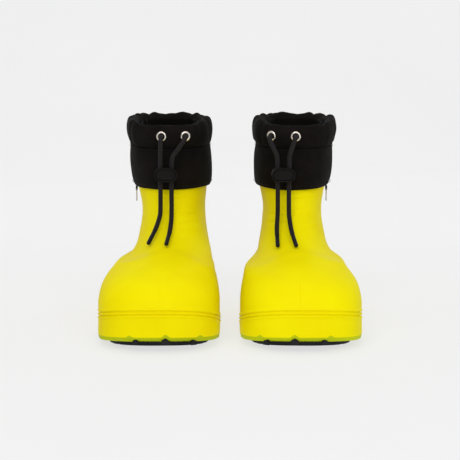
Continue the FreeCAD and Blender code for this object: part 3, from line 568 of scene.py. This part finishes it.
def shell_features(boot, grid, turns, heights):
    """How far the surface stands out: ridges round the rand, the toe cap's edge, creases and slight waves."""
    from_groove = heights - groove_line(grid[..., 1], turns)
    out = np.zeros(heights.shape)
    for shift in (-RIDGE_PITCH / 2, RIDGE_PITCH / 2):
        out -= 1.15 * np.exp(-((from_groove - shift) / 0.8) ** 2)
    for shift in (-RIDGE_PITCH, 0, RIDGE_PITCH):
        out += 0.95 * np.exp(-((from_groove - shift) / 1.15) ** 2)
    from_cap = heights - cap_line(turns)
    front = 1 - smooth_step(np.abs(turns), 1.75, 2.5)
    step = smooth_step(from_cap, -3.0, 3.5) * (1 - smooth_step(from_cap, 3, 26))
    outer_side = smooth_step(turns, 0.3, 1.2)
    inner_side = smooth_step(-turns, 0.3, 1.2)
    edge = 0.6 + 0.3 * outer_side
    recess = 1.5 + 2.6 * outer_side - 0.9 * inner_side
    out += front * (edge * np.exp(-((from_cap + 3.0) / 2.8) ** 2) - recess * step)
    inward = boot["waist_centre"] - np.abs(grid[..., 0])
    on_front = 1 - smooth_step(np.abs(turns), 1.1, 1.5)
    for start, end, low, high, bow, depth in CREASES:
        share = (inward - start) / (end - start)
        line = low + (high - low) * share + 4 * bow * share * (1 - share)
        ends = smooth_step(share, -0.02, 0.25) * (1 - smooth_step(share, 0.75, 1.02))
        valley = np.exp(-((heights - line) / 1.1) ** 2)
        swell = np.exp(-((heights - line - 2.6) / 2.2) ** 2)
        out += on_front * ends * depth * (0.55 * swell - valley)
    out += 0.35 * dents(grid, 42.0, boot["seed"])
    return out


def bevel_height(x, y):
    """Height of the bevel's upper edge above the foam's lower edge, with small peaks across the toe."""
    height = np.full(np.shape(x), BEVEL)
    for place, width, rise in PEAKS:
        share = 1 - np.abs(x - FOREFOOT_CENTRE - place) / (width / 2)
        height += (y < -90) * rise * np.clip(1.25 * share, 0, 1)
    return height


def shell_heights(x, y, turns):
    """Row heights for each column: close together at the bevel, the ridges and the toe cap's edge."""
    bottom = underside(y)
    bevel = bottom + bevel_height(x, y)
    groove = groove_line(y, turns)
    cap = cap_line(turns)
    bands = [
        (bottom, bevel, BEVEL_ROWS),
        (bevel, groove - 6.5, 8),
        (groove - 6.5, groove + 6.5, 36),
        (groove + 6.5, cap - 8, 18),
        (cap - 8, cap + 8, 22),
        (cap + 8, np.full_like(cap, RIM - 1.2), 50),
    ]
    rows = []
    for low, high, count in bands:
        for i in range(count):
            rows.append(low + (high - low) * i / count)
    rows.append(np.full_like(cap, RIM - 1.2))
    return np.array(rows)


def bevel_inset(above, turns):
    """How far the lower edge is cut back: deep across the toe, slight along the sides, less with height."""
    depth = 0.8 + 3.2 * (1 - smooth_step(np.abs(turns), 0.5, 0.95))
    return depth * (1 - smooth_step(above, 0.0, 5.4)) ** 1.2


def make_shell(name, boot):
    side = boot["side"]
    values = shell_rows(boot)
    turns = even_turns(values[2, 1:], SHELL_COLUMNS)
    across, reference = outline(values[2, 1:], turns, 1)
    heights = shell_heights(across, reference, turns)
    all_turns = np.broadcast_to(turns, heights.shape)
    x, y = outline(smooth_rows(values, heights), all_turns, side)
    outer = np.stack([x, y, heights], axis=-1)
    normals = grid_normals(outer)
    move = shell_features(boot, outer, all_turns, heights)
    above = heights - underside(reference)
    inset = bevel_inset(above * BEVEL / bevel_height(across, reference), all_turns)
    from_middle = np.abs(x) - FOREFOOT_CENTRE
    on_toe = (y < -100).astype(float)
    for place, width, height in NOTCHES:
        share = np.clip(1 - np.abs(from_middle - place) / (width / 2), 0, 1)
        inset = inset + on_toe * 1.7 * smooth_step(share * height - above, -0.6, 0.6)
    outer = outer + normals * move[..., None]
    level = normals * np.array([1, 1, 0])
    level /= np.maximum(np.linalg.norm(level, axis=2, keepdims=True), 1e-6)
    outer = outer - level * inset[..., None]

    def at(height, grow):
        level_heights = np.full(SHELL_COLUMNS, float(height))
        px, py = outline(smooth_rows(values, level_heights), turns, side, grow)
        return np.stack([px, py, level_heights], axis=-1)

    rounding = [at(RIM - 0.35, -0.4), at(RIM, -1.3), at(RIM, -WALL + 1.2), at(RIM - 0.4, -WALL + 0.3)]
    inside = [at(height, -WALL) for height in (RIM - 1.4, 152, 145, 138, 130)]
    under = []
    lowest = outer[0]
    spine = np.stack([side * (np.interp(lowest[:, 1], [TOE, -75, 40, HEEL], [79, 79, 74, 71])),
                      np.clip(lowest[:, 1], TOE + 45, HEEL - 40), lowest[:, 2]], axis=-1)
    for share in (0.97, 0.8, 0.5, 0.1):
        row = spine + (lowest - spine) * share
        row[:, 2] = underside(row[:, 1]) + 0.15
        under.append(row)
    grid = np.concatenate([np.array(under[::-1]), outer, np.array(rounding + inside)])
    mesh = grid_mesh(f"{name}_shell_foam", grid)
    tidy_normals(mesh)
    bevel_rows = len(under) + BEVEL_ROWS
    piece = add_object(f"{name}_shell_foam", mesh, "yellow_eva", "shaded_bevel_eva")
    # The faces of the lowest rows take the darker, greener foam: painted shade on the downward-facing bevel.
    index = np.zeros(len(mesh.polygons), dtype=np.int32)
    index[: (bevel_rows - 1) * SHELL_COLUMNS] = 1
    mesh.polygons.foreach_set("material_index", index)
    make_mould_line(name, boot, piece)
    finish_piece(piece, f"{name}_boot", "yellow_eva", f"{name}_eva_shell")


def make_mould_line(name, boot, shell):
    """A faint raised line up the middle of the toe, where the mould's halves met."""
    bpy.context.view_layer.update()
    rows = []
    for share in np.linspace(0, 1, 24):
        height = MOULD_LINE_START + MOULD_LINE_RISE * share
        start = Vector((boot["side"] * MOULD_LINE, TOE - 40, height)) * MM
        found, place, normal = shell.ray_cast(start, Vector((0, 1, 0)))[:3]
        if not found:
            raise RuntimeError(f"{name}: the mould line missed the shell")
        radius = 0.62 * math.sin(math.pi * (0.04 + 0.92 * share)) ** 0.5
        middle = place / MM - normal * 0.25
        ring = []
        for a in np.arange(10) / 10 * 2 * math.pi:
            ring.append(list(middle + radius * (Vector((math.cos(a), 0, 0)) + normal * math.sin(a))))
        rows.append(ring)
    line = grid_object(f"{name}_mould_line", np.array(rows), "yellow_eva", caps=("first", "last"))
    finish_piece(line, f"{name}_boot", "yellow_eva")


# -------------------- soles
def rounded_copy(node, name, width, material, segments=2):
    """The CAD piece with its edges rounded."""
    source = frame["nodes"][node]
    work = bmesh.new()
    work.from_mesh(source.data)
    bmesh.ops.remove_doubles(work, verts=work.verts, dist=1e-6)
    bmesh.ops.dissolve_limit(work, angle_limit=math.radians(4), verts=work.verts, edges=work.edges)
    sharp = [e for e in work.edges if len(e.link_faces) == 2 and e.calc_face_angle() > math.radians(32)]
    bmesh.ops.bevel(work, geom=sharp, offset=width * MM, segments=segments, profile=0.5,
                    affect="EDGES", clamp_overlap=True)
    piece = add_object(name, mesh_from(work, name), material)
    weighted = piece.modifiers.new("weighted", "WEIGHTED_NORMAL")
    weighted.keep_sharp = True
    return apply_modifiers(piece)


def make_sole_details(name, boot):
    """Rubber lugs that climb into the shell's notches, and the fine teeth along the sole's front edge."""
    side = boot["side"]
    values = smooth_rows(shell_rows(boot), np.array([6.0]))[0]
    turns = even_turns(values, 1400)
    x, y = outline(values, turns, side, -3.4)
    offsets = np.abs(x) - FOREFOOT_CENTRE
    on_toe = y < -90
    work = bmesh.new()

    def place(offset):
        index = np.argmin(np.where(on_toe, np.abs(offsets - offset), 1e9))
        point = Vector((x[index], y[index], 0))
        after = (index + 4) % len(turns)
        ahead = Vector((x[after] - x[index - 4], y[after] - y[index - 4], 0))
        out = Vector((ahead.y, -ahead.x, 0)).normalized()
        if out.y > 0:
            out = -out
        return point, out

    def wedge(offset, width, height, depth, sink):
        point, out = place(offset)
        across = Vector((-out.y, out.x, 0))
        base = float(underside(np.array([point.y]))[0])
        corners = []
        levels = (
            (-sink, width / 2, depth),
            (-0.2, width / 2, depth),
            (height * 0.6, width * 0.26, depth * 0.9),
            (height, width * 0.08, depth * 0.55),
        )
        for lift, half, reach in levels:
            for sign in (-1, 1):
                for near in (-depth, reach * 0.5):
                    at = point + across * sign * half + out * near + Vector((0, 0, base + lift))
                    corners.append(work.verts.new(at * MM))
        for k in range(0, 12, 4):
            a = corners[k:k + 8]
            work.faces.new((a[1], a[3], a[7], a[5]))
            work.faces.new((a[0], a[4], a[6], a[2]))
            work.faces.new((a[0], a[1], a[5], a[4]))
            work.faces.new((a[2], a[6], a[7], a[3]))
        work.faces.new(corners[:2] + [corners[3], corners[2]])
        work.faces.new([corners[12], corners[14], corners[15], corners[13]])

    for offset, width, height in NOTCHES:
        wedge(offset, width * 0.9, height + 0.4, 2.6, 3.5)
    for i in range(34):
        offset = 22.0 - i * 1.75
        if all(abs(offset - notch[0]) > notch[1] / 2 for notch in NOTCHES):
            wedge(offset, 0.95, 1.1, 1.6, 2.5)
    bmesh.ops.recalc_face_normals(work, faces=work.faces)
    mesh = mesh_from(work, f"{name}_sole_lugs", smooth=False)
    piece = add_object(f"{name}_sole_lugs", mesh, "black_rubber")
    bevel = piece.modifiers.new("soft", "BEVEL")
    bevel.width = 0.25 * MM
    bevel.segments = 2
    apply_modifiers(piece)
    finish_piece(piece, f"{name}_boot", "black_rubber")


def make_soles(name, boot):
    for part in ("forefoot", "heel"):
        node = f"{name}_outsole_{part}"
        piece = rounded_copy(node, f"{name}_tread_{part}", 0.9, "black_rubber")
        finish_piece(piece, f"{name}_boot", "black_rubber", node)
    make_sole_details(name, boot)


# -------------------- padded collar
PRESSURE = 4.0


def inflate(piece, pinned, pressure, cap, frames=20):
    """Pads a closed mesh by a short cloth run under pressure; no point moves farther than `cap`."""
    start = np.array([v.co for v in piece.data.vertices])
    group = piece.vertex_groups.new(name="pinned")
    group.add([int(i) for i in np.flatnonzero(pinned)], 1.0, "REPLACE")
    cloth = piece.modifiers.new("cloth", "CLOTH")
    settings = cloth.settings
    settings.quality = 5
    settings.mass = 0.3
    settings.tension_stiffness = 12
    settings.compression_stiffness = 12
    settings.bending_stiffness = 0.4
    settings.use_pressure = True
    settings.uniform_pressure_force = pressure
    settings.vertex_group_mass = "pinned"
    settings.effector_weights.gravity = 0
    cloth.point_cache.frame_start = 1
    cloth.point_cache.frame_end = frames
    scene = bpy.context.scene
    for step in range(1, frames + 1):
        scene.frame_set(step)
    graph = bpy.context.evaluated_depsgraph_get()
    result = piece.evaluated_get(graph).to_mesh()
    moved = np.array([v.co for v in result.vertices])
    piece.evaluated_get(graph).to_mesh_clear()
    piece.modifiers.clear()
    piece.vertex_groups.clear()
    shift = moved - start
    length = np.linalg.norm(shift, axis=1, keepdims=True)
    shift *= np.minimum(1, cap * MM / np.maximum(length, 1e-9))
    piece.data.vertices.foreach_set("co", (start + shift).ravel())
    piece.data.update()
    scene.frame_set(1)


def subdivide(piece, levels=1):
    modifier = piece.modifiers.new("smooth", "SUBSURF")
    modifier.levels = levels
    modifier.render_levels = levels
    return apply_modifiers(piece)


def folds(turns, seed, count):
    """Gathers round the tunnel: uneven ridges with sharper valleys between them, from 0 to 1."""
    across = [(math.cos(t), math.sin(t)) for t in turns]
    wander = np.array([noise.noise(Vector((c * 2.1 + seed, s * 2.1, seed))) for c, s in across])
    depth = np.array([noise.noise(Vector((c * 3.3, s * 3.3 + seed, 5 + seed))) for c, s in across])
    wave = 0.5 + 0.5 * np.cos(count * turns + 5.5 * wander)
    return wave ** 0.6 * (0.62 + 0.75 * depth)


def make_collar_body(name, boot):
    """The padded band between the hem and the seam, with quilted softness and a bound, stitched hem."""
    columns = 132
    turns = even_turns(rim_values(boot, np.array(190.0)), columns)
    outer = eased([(HEM + 0.3, 3.6), (HEM + 4.4, 5.3), (HEM + 12, 6.6), (HEM + 26, 7.2), (HEM + 40, 6.8),
                   (SEAM - 0.6, 5.6)], 15)
    inner = [(SEAM - 0.6, 1.0), (SEAM - 2, -4.9), (195, -5.3), (182, -5.3), (173.6, -5.0), (172.0, -1.0),
             (171.5, 2.3), (165, 2.4), (HEM + 0.5, 2.3)]
    profile = [tuple(p) for p in outer] + inner
    grid = ring_grid(boot, profile, turns)
    face = grid[:len(outer)]
    soft = dents(face, 26.0, boot["seed"] + 20)
    low = dents(face, 60.0, boot["seed"] + 40)
    face += grid_normals(face) * (0.9 * soft + 0.8 * low - 0.3)[..., None]
    lift = 0.9 * np.sin(2 * turns + boot["seed"]) + 0.5 * np.sin(5 * turns)
    fade = 1 - smooth_step(face[..., 2], HEM, HEM + 16)
    face[..., 2] += 0.35 * lift * fade
    grid[-3:, :, 2] += 0.35 * lift * np.array([0.5, 0.8, 1.0])[:, None]
    piece = grid_object(f"{name}_collar_pad", grid, "black_nylon", loop_rows=True)
    rows = np.repeat(np.arange(len(profile)), columns)
    pinned = (rows < 2) | (rows >= len(outer) - 2)
    inflate(piece, pinned, PRESSURE, 1.6)
    subdivide(piece)
    finish_piece(piece, f"{name}_boot", "black_nylon", f"{name}_collar_body")


def make_tunnel(name, boot):
    """The gathered drawcord tunnel: a soft tube whose folds are deepest at its seam and round its mouth."""
    columns = 264
    turns = even_turns(rim_values(boot, np.array(225.0)), columns)
    outer = eased([(SEAM - 0.2, 5.6), (SEAM + 3.4, 8.3), (SEAM + 13, 9.9), (COLLAR_TOP - 9, 9.6),
                   (COLLAR_TOP - 2.5, 7.2), (COLLAR_TOP - 0.7, 3.2), (COLLAR_TOP - 2.2, -1.0)], 19)
    inner = eased([(COLLAR_TOP - 5, -3.6), (COLLAR_TOP - 11, -5.0), (218, -5.3), (SEAM + 1, -5.2)], 9)
    profile = [tuple(p) for p in outer] + [tuple(p) for p in inner] + [(SEAM - 0.2, -1.0), (SEAM - 0.2, 3.0)]
    grid = ring_grid(boot, profile, turns)
    ridge = folds(turns, boot["seed"], 30)
    wide_ridge = folds(turns, boot["seed"] + 7, 11)
    heights = grid[..., 2]
    at_seam = 1 - smooth_step(heights, SEAM, SEAM + 13)
    at_mouth = smooth_step(heights, COLLAR_TOP - 15, COLLAR_TOP - 3)
    front_flat = 1 - 0.72 * np.exp(-((np.abs(turns) - 0.32) / 0.42) ** 2)
    amount = (1.5 * at_seam + 1.7 * at_mouth + 0.55) * front_flat
    row = np.arange(len(profile))[:, None]
    inside = (row >= len(outer)).astype(float)
    amount = amount * (1 - inside) - inside * 1.1 * at_mouth
    radial = radial_directions(grid)
    grid += radial * (0.5 * amount * (ridge - 0.75) + 1.9 * (wide_ridge - 0.55) * front_flat)[..., None]
    calm_front = 0.45 + 0.55 * smooth_step(np.abs(turns), 0.6, 1.6)
    top_wave = (0.7 * (ridge - 0.6) + 3.4 * (wide_ridge - 0.62)) * calm_front
    in_front = 1 - smooth_step(np.abs(turns), 0.5, 1.3)
    grid[..., 2] += at_mouth * (top_wave + 1.9 - 5.2 * in_front)
    towards_rim = smooth_step(row, 12, 18) * (1 - smooth_step(row, 21, 26))
    grid += radial * (2.6 * in_front * towards_rim)[..., None]
    face = grid[:len(outer)]
    face += (0.7 * dents(face, 14.0, boot["seed"]))[..., None] * radial[:len(outer)]
    grid[..., 2] = np.minimum(grid[..., 2], COLLAR_TOP + 2.5)
    piece = grid_object(f"{name}_tunnel_fabric", grid, "black_nylon", loop_rows=True)
    rows = np.repeat(np.arange(len(profile)), columns)
    near_eyelets = np.zeros(len(rows), dtype=bool)
    flat = grid.reshape(-1, 3)
    for key in ("outer", "inner"):
        place = eyelet_place(name, boot, key)[0]
        near_eyelets |= np.linalg.norm(flat - np.array(place), axis=1) < 9
    pinned = (rows < 1) | (rows >= len(outer) + len(inner) - 2) | near_eyelets
    inflate(piece, pinned, PRESSURE, 1.5)
    subdivide(piece)
    finish_piece(piece, f"{name}_boot", "black_nylon", f"{name}_collar_tunnel")


def stitch_line(name, boot, height, grow, pitch=3.1, length=2.1, radius=0.32):
    """A line of stitches round the collar, each a short raised thread."""
    turns = even_turns(rim_values(boot, np.array(float(height))), 720)
    row = ring_grid(boot, [(height, grow)], turns)[0]
    spans = np.linalg.norm(np.roll(row, -1, axis=0) - row, axis=1)
    total = spans.sum()
    at = np.concatenate([[0], np.cumsum(spans)])
    closed = np.vstack([row, row[:1]])
    work = bmesh.new()
    count = int(total / pitch)
    for i in range(count):
        start = total * i / count
        a, b = (Vector([np.interp(start + d, at, closed[:, k]) for k in range(3)]) for d in (0, length))
        ahead = (b - a).normalized()
        turn = ahead.to_track_quat("Z", "Y").to_matrix().to_4x4()
        stretch = Matrix.Diagonal((1, 1, length / (2 * radius), 1))
        place = Matrix.Translation((a + b) / 2 * MM) @ turn @ stretch
        bmesh.ops.create_icosphere(work, subdivisions=1, radius=radius * MM, matrix=place)
    return add_object(name, mesh_from(work, name), "stitching")


def make_collar_seams(name, boot):
    for label, height, grow in (("hem", HEM + 4.6, 5.9), ("seam_low", SEAM - 2.8, 6.4)):
        piece = stitch_line(f"{name}_stitches_{label}", boot, height, grow)
        finish_piece(piece, f"{name}_boot", "black_nylon")
    turns = even_turns(rim_values(boot, np.array(SEAM)), 200)
    round_turns = np.linspace(0, 2 * math.pi, 9)[:-1]
    profile = [(SEAM + 0.9 * math.sin(a), 5.3 + 0.9 * math.cos(a)) for a in round_turns]
    grid = ring_grid(boot, profile, turns)
    piping = grid_object(f"{name}_seam_piping", grid, "black_nylon", loop_rows=True)
    finish_piece(piping, f"{name}_boot", "black_nylon")


def make_collar_lining(name, boot):
    """The lining inside the collar: light fabric with soft vertical puckers towards the mouth."""
    turns = even_turns(rim_values(boot, np.array(200.0)), 180)
    heights = np.linspace(163, COLLAR_TOP - 5, 30)
    over_rim = 1.2 * (1 - smooth_step(heights, 170, 178))
    rows = [(h, -6.1 - shift) for h, shift in zip(heights, over_rim)]
    rows += [(h, grow - 0.8) for h, grow in reversed(rows)]
    grid = ring_grid(boot, rows, turns)
    near_mouth = smooth_step(grid[..., 2], 195, COLLAR_TOP - 8)
    pucker = folds(turns, boot["seed"] + 3, 26)
    drape = folds(turns, boot["seed"] + 11, 9) * smooth_step(np.abs(turns), 0.7, 1.5)
    grid -= radial_directions(grid) * (near_mouth * (1.1 * pucker + 4.2 * drape))[..., None]
    piece = grid_object(f"{name}_mouth_lining", grid, "lining_fabric", loop_rows=True)
    finish_piece(piece, f"{name}_boot", "lining_fabric", f"{name}_collar_lining")


# -------------------- liner and footbed
def make_liner(name, boot):
    """A felt sock inside the shell: shallow quilting, closed at the toe."""
    side = boot["side"]
    values = shell_rows(boot)
    turns = even_turns(values[2, 1:], 160)
    floor = 28.4

    def rows_at(inset, lowest, top):
        heights = np.concatenate([np.linspace(lowest, 90, 22), np.linspace(93, top, 30)])
        grid = []
        for height in heights:
            low = 1 - smooth_step(height, lowest, lowest + 14)
            flat_heights = np.full(len(turns), height)
            droop = np.interp(height, [45, 60, 78, 94, 110], [3, 5, 7, 6, 0])
            source = np.clip(flat_heights + droop * inset / WALL, 0, RIM)
            x, y = outline(smooth_rows(values, source), turns, side, -inset - 4.5 * low)
            grid.append(np.stack([x, y, flat_heights], axis=-1))
        return np.array(grid)

    outer = rows_at(WALL + 0.4, floor, 155.6)
    inner = rows_at(WALL + 2.9, floor + 2.4, 155.6)
    quilting = 0.35 * np.sin(inner[..., 2] / 2.6) * smooth_step(inner[..., 2], 60, 90)
    inner = inner - grid_normals(inner) * quilting[..., None]
    grid = np.concatenate([outer, inner[::-1]])
    piece = grid_object(f"{name}_sock", grid, "liner_felt", caps=("first", "last"))
    finish_piece(piece, f"{name}_boot", "liner_felt", f"{name}_liner")


def make_footbed(name, boot):
    """A cupped footbed with a raised edge and small dimples."""
    side = boot["side"]
    values = shell_rows(boot)[2, 1:]
    turns = even_turns(values, 160)
    low, high = (v / MM for v in (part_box(f"{name}_footbed")[0].z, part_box(f"{name}_footbed")[1].z))
    inset = WALL + 9.8
    x, y = outline(values, turns, side, -inset)
    edge = np.stack([x, y, np.zeros(len(turns))], axis=-1)
    spine = np.stack([side * np.interp(y, [TOE, -75, 40, HEEL], [79, 79, 75, 71.5]),
                      np.clip(y, TOE + 62, HEEL - 48), np.zeros(len(turns))], axis=-1)
    rows = []
    for share, height in ((0.02, low), (0.97, low), (1.0, low + 0.8),
                          (1.0, high - 0.8), (0.985, high), (0.95, high - 0.4)):
        row = spine + (edge - spine) * share
        row[:, 2] = height
        rows.append(row)
    for share in np.linspace(0.91, 0.02, 24):
        row = spine + (edge - spine) * share
        dimple = 0.18 * np.sin(row[:, 0] / 1.3) * np.sin(row[:, 1] / 1.3)
        row[:, 2] = high - 1.7 + 1.2 * smooth_step(share, 0.6, 0.95) + dimple
        rows.append(row)
    piece = grid_object(f"{name}_insole", np.array(rows), "footbed_foam", caps=("first", "last"))
    finish_piece(piece, f"{name}_boot", "footbed_foam", f"{name}_footbed")


# -------------------- drawcord and eyelets
EYELET_BACK = 1.2


def route_points(name, boot, key):
    return [Vector((boot["side"] * out, y, z)) for out, y, z in CORD_ROUTES[name][key]]


def eyelet_place(name, boot, key):
    """Centre of an eyelet on the fabric's face, and the way it points."""
    route = route_points(name, boot, key)
    normal = (route[1] - route[0]).normalized()
    return route[0] + normal * EYELET_BACK, normal


def smooth_line(points):
    """Points of the NURBS curve whose control points are a route's."""
    curve = bpy.data.curves.new("line", "CURVE")
    curve.dimensions = "3D"
    curve.resolution_u = 24
    spline = curve.splines.new("NURBS")
    spline.points.add(len(points) - 1)
    for index, (point, place) in enumerate(zip(spline.points, points)):
        point.co = (*(place * MM), ROUTE_WEIGHTS.get(index, 1))
    spline.order_u = 3
    spline.use_endpoint_u = True
    carrier = bpy.data.objects.new("line", curve)
    bpy.context.scene.collection.objects.link(carrier)
    bpy.context.view_layer.update()
    mesh = bpy.data.meshes.new_from_object(carrier.evaluated_get(bpy.context.evaluated_depsgraph_get()))
    line = [v.co.copy() for v in mesh.vertices]
    bpy.data.objects.remove(carrier)
    bpy.data.curves.remove(curve)
    bpy.data.meshes.remove(mesh)
    return line


def braided_tube(name, line, diameter):
    """A braided cord along a line: two sets of yarns that wind opposite ways, over and under each other."""
    line = np.array([list(p) for p in line]) / MM
    spans = np.linalg.norm(np.diff(line, axis=0), axis=1)
    at = np.concatenate([[0], np.cumsum(spans)])
    steps = int(at[-1] / 0.42)
    fine_at = np.linspace(0, at[-1], steps)
    centre = np.stack([np.interp(fine_at, at, line[:, k]) for k in range(3)], axis=-1)
    for _ in range(3):
        centre[1:-1] = 0.25 * centre[:-2] + 0.5 * centre[1:-1] + 0.25 * centre[2:]
    tangents = np.gradient(centre, axis=0)
    tangents /= np.linalg.norm(tangents, axis=1, keepdims=True)
    across = np.cross(tangents, np.array([1.0, 0.02, 0.0]))
    across /= np.linalg.norm(across, axis=1, keepdims=True)
    other = np.cross(tangents, across)
    around = 32
    angles = np.arange(around) / around * 2 * math.pi
    yarns = 8
    lead = 2 * math.pi / 9.5
    one = np.sin(yarns * angles[None, :] / 2 + fine_at[:, None] * lead * 4)
    two = np.sin(yarns * angles[None, :] / 2 - fine_at[:, None] * lead * 4)
    radius = diameter / 2 + 0.14 * (np.maximum(one, two) - 0.55)
    cosine = np.cos(angles)[None, :, None]
    sine = np.sin(angles)[None, :, None]
    grid = centre[:, None, :] + radius[..., None] * (cosine * across[:, None, :] + sine * other[:, None, :])
    return grid_object(name, grid, "black_cord", caps=("first", "last"))


def make_cords(name, boot):
    for key in ("outer", "inner"):
        route = route_points(name, boot, key)
        line = smooth_line(route)
        piece = braided_tube(f"{name}_cord_{key}", line, CORD_DIAMETER)
        finish_piece(piece, f"{name}_boot", "black_cord", f"{name}_drawcord_{key}")


def lathe(name, profile, place, axis, material, steps=56):
    """A piece turned about an axis; the profile is (radius, distance along the axis)."""
    turn = axis.to_track_quat("Z", "Y").to_matrix()
    rows = []
    for radius, along in profile:
        angles = np.arange(steps) / steps * 2 * math.pi
        ring = [place + turn @ Vector((radius * math.cos(a), radius * math.sin(a), along)) for a in angles]
        rows.append([list(p) for p in ring])
    return grid_object(name, np.array(rows), material, loop_rows=True)


def make_eyelets(name, boot):
    """Rolled metal rings with a domed flange and a lip into the hole."""
    pieces = []
    for key in ("outer", "inner"):
        place, normal = eyelet_place(name, boot, key)
        arc = [(4.35 + 1.45 * math.cos(a), 0.15 + 1.0 * math.sin(a)) for a in np.linspace(0, math.pi, 12)]
        profile = arc + [(3.0, -1.5), (3.05, -3.2), (3.7, -3.2), (3.75, -0.2), (5.6, -0.25)]
        pieces.append(lathe(f"{name}_eyelet_ring_{key}", profile, place, normal, "pale_metal"))
    finish_piece(pieces[0], f"{name}_boot", "pale_metal", f"{name}_eyelets")
    finish_piece(pieces[1], f"{name}_boot", "pale_metal")


# -------------------- cord lock and zip
def make_hardware(name):
    rounded = (
        ("lock_body", "cord_lock", "lock_plastic", 0.55),
        ("lock_button", "lock_plunger", "lock_plastic", 0.5),
        ("zip_slider", "zip_runner", "zip_metal", 0.25),
        ("zip_carrier", "zip_runner", "carrier_black", 0.2),
        ("zip_pull", "zip_tab", "zip_metal", 0.3),
    )
    for node, body, material, width in rounded:
        piece = rounded_copy(f"{name}_{node}", f"{name}_{node}_piece", width, material)
        finish_piece(piece, f"{name}_{body}", material, f"{name}_{node}")


def dress_nodes():
    """Materials for the CAD pieces that are shown as they are."""
    for row in frame["record"]["subparts"]:
        node = frame["nodes"][row["node"]]
        node.data.materials.clear()
        node.data.materials.append(MATERIALS[row["material_slot"]])


# -------------------- floor
def make_floor():
    """A level floor that curves up into a backdrop far behind the boots."""
    profile = [(-40.0, 0.0), (1.6, 0.0)]
    for a in np.linspace(0.15, math.pi / 2, 14):
        profile.append((1.6 + 1.2 * math.sin(a), 1.2 - 1.2 * math.cos(a)))
    profile.append((2.8, 4.0))
    work = bmesh.new()
    rows = [[work.verts.new((x, y, z - 0.0005)) for x in (-40.0, 40.0)] for y, z in profile]
    for a, b in zip(rows, rows[1:]):
        work.faces.new((a[0], a[1], b[1], b[0]))
    mesh = mesh_from(work, "floor")
    add_object("floor", mesh, "pale_floor")


make_camera()
make_world()
make_light("key", (-0.4, -2.2, 1.9), 1.6, 27)
make_light("fill", (0.9, -2.3, 1.1), 1.4, 13)
make_light("top", (0.0, 0.0, 2.4), 2.0, 11)
make_light("backdrop", (0.0, 1.0, 1.6), 2.0, 9, (0, 3.0, 0.4))
make_floor()
dress_nodes()
BOOT_PIECES = (make_cords, make_shell, make_soles, make_liner, make_footbed, make_collar_body, make_tunnel,
               make_collar_seams, make_collar_lining, make_eyelets)
for boot_name, boot_values in BOOTS.items():
    for make_piece in BOOT_PIECES:
        make_piece(boot_name, boot_values)
    make_hardware(boot_name)
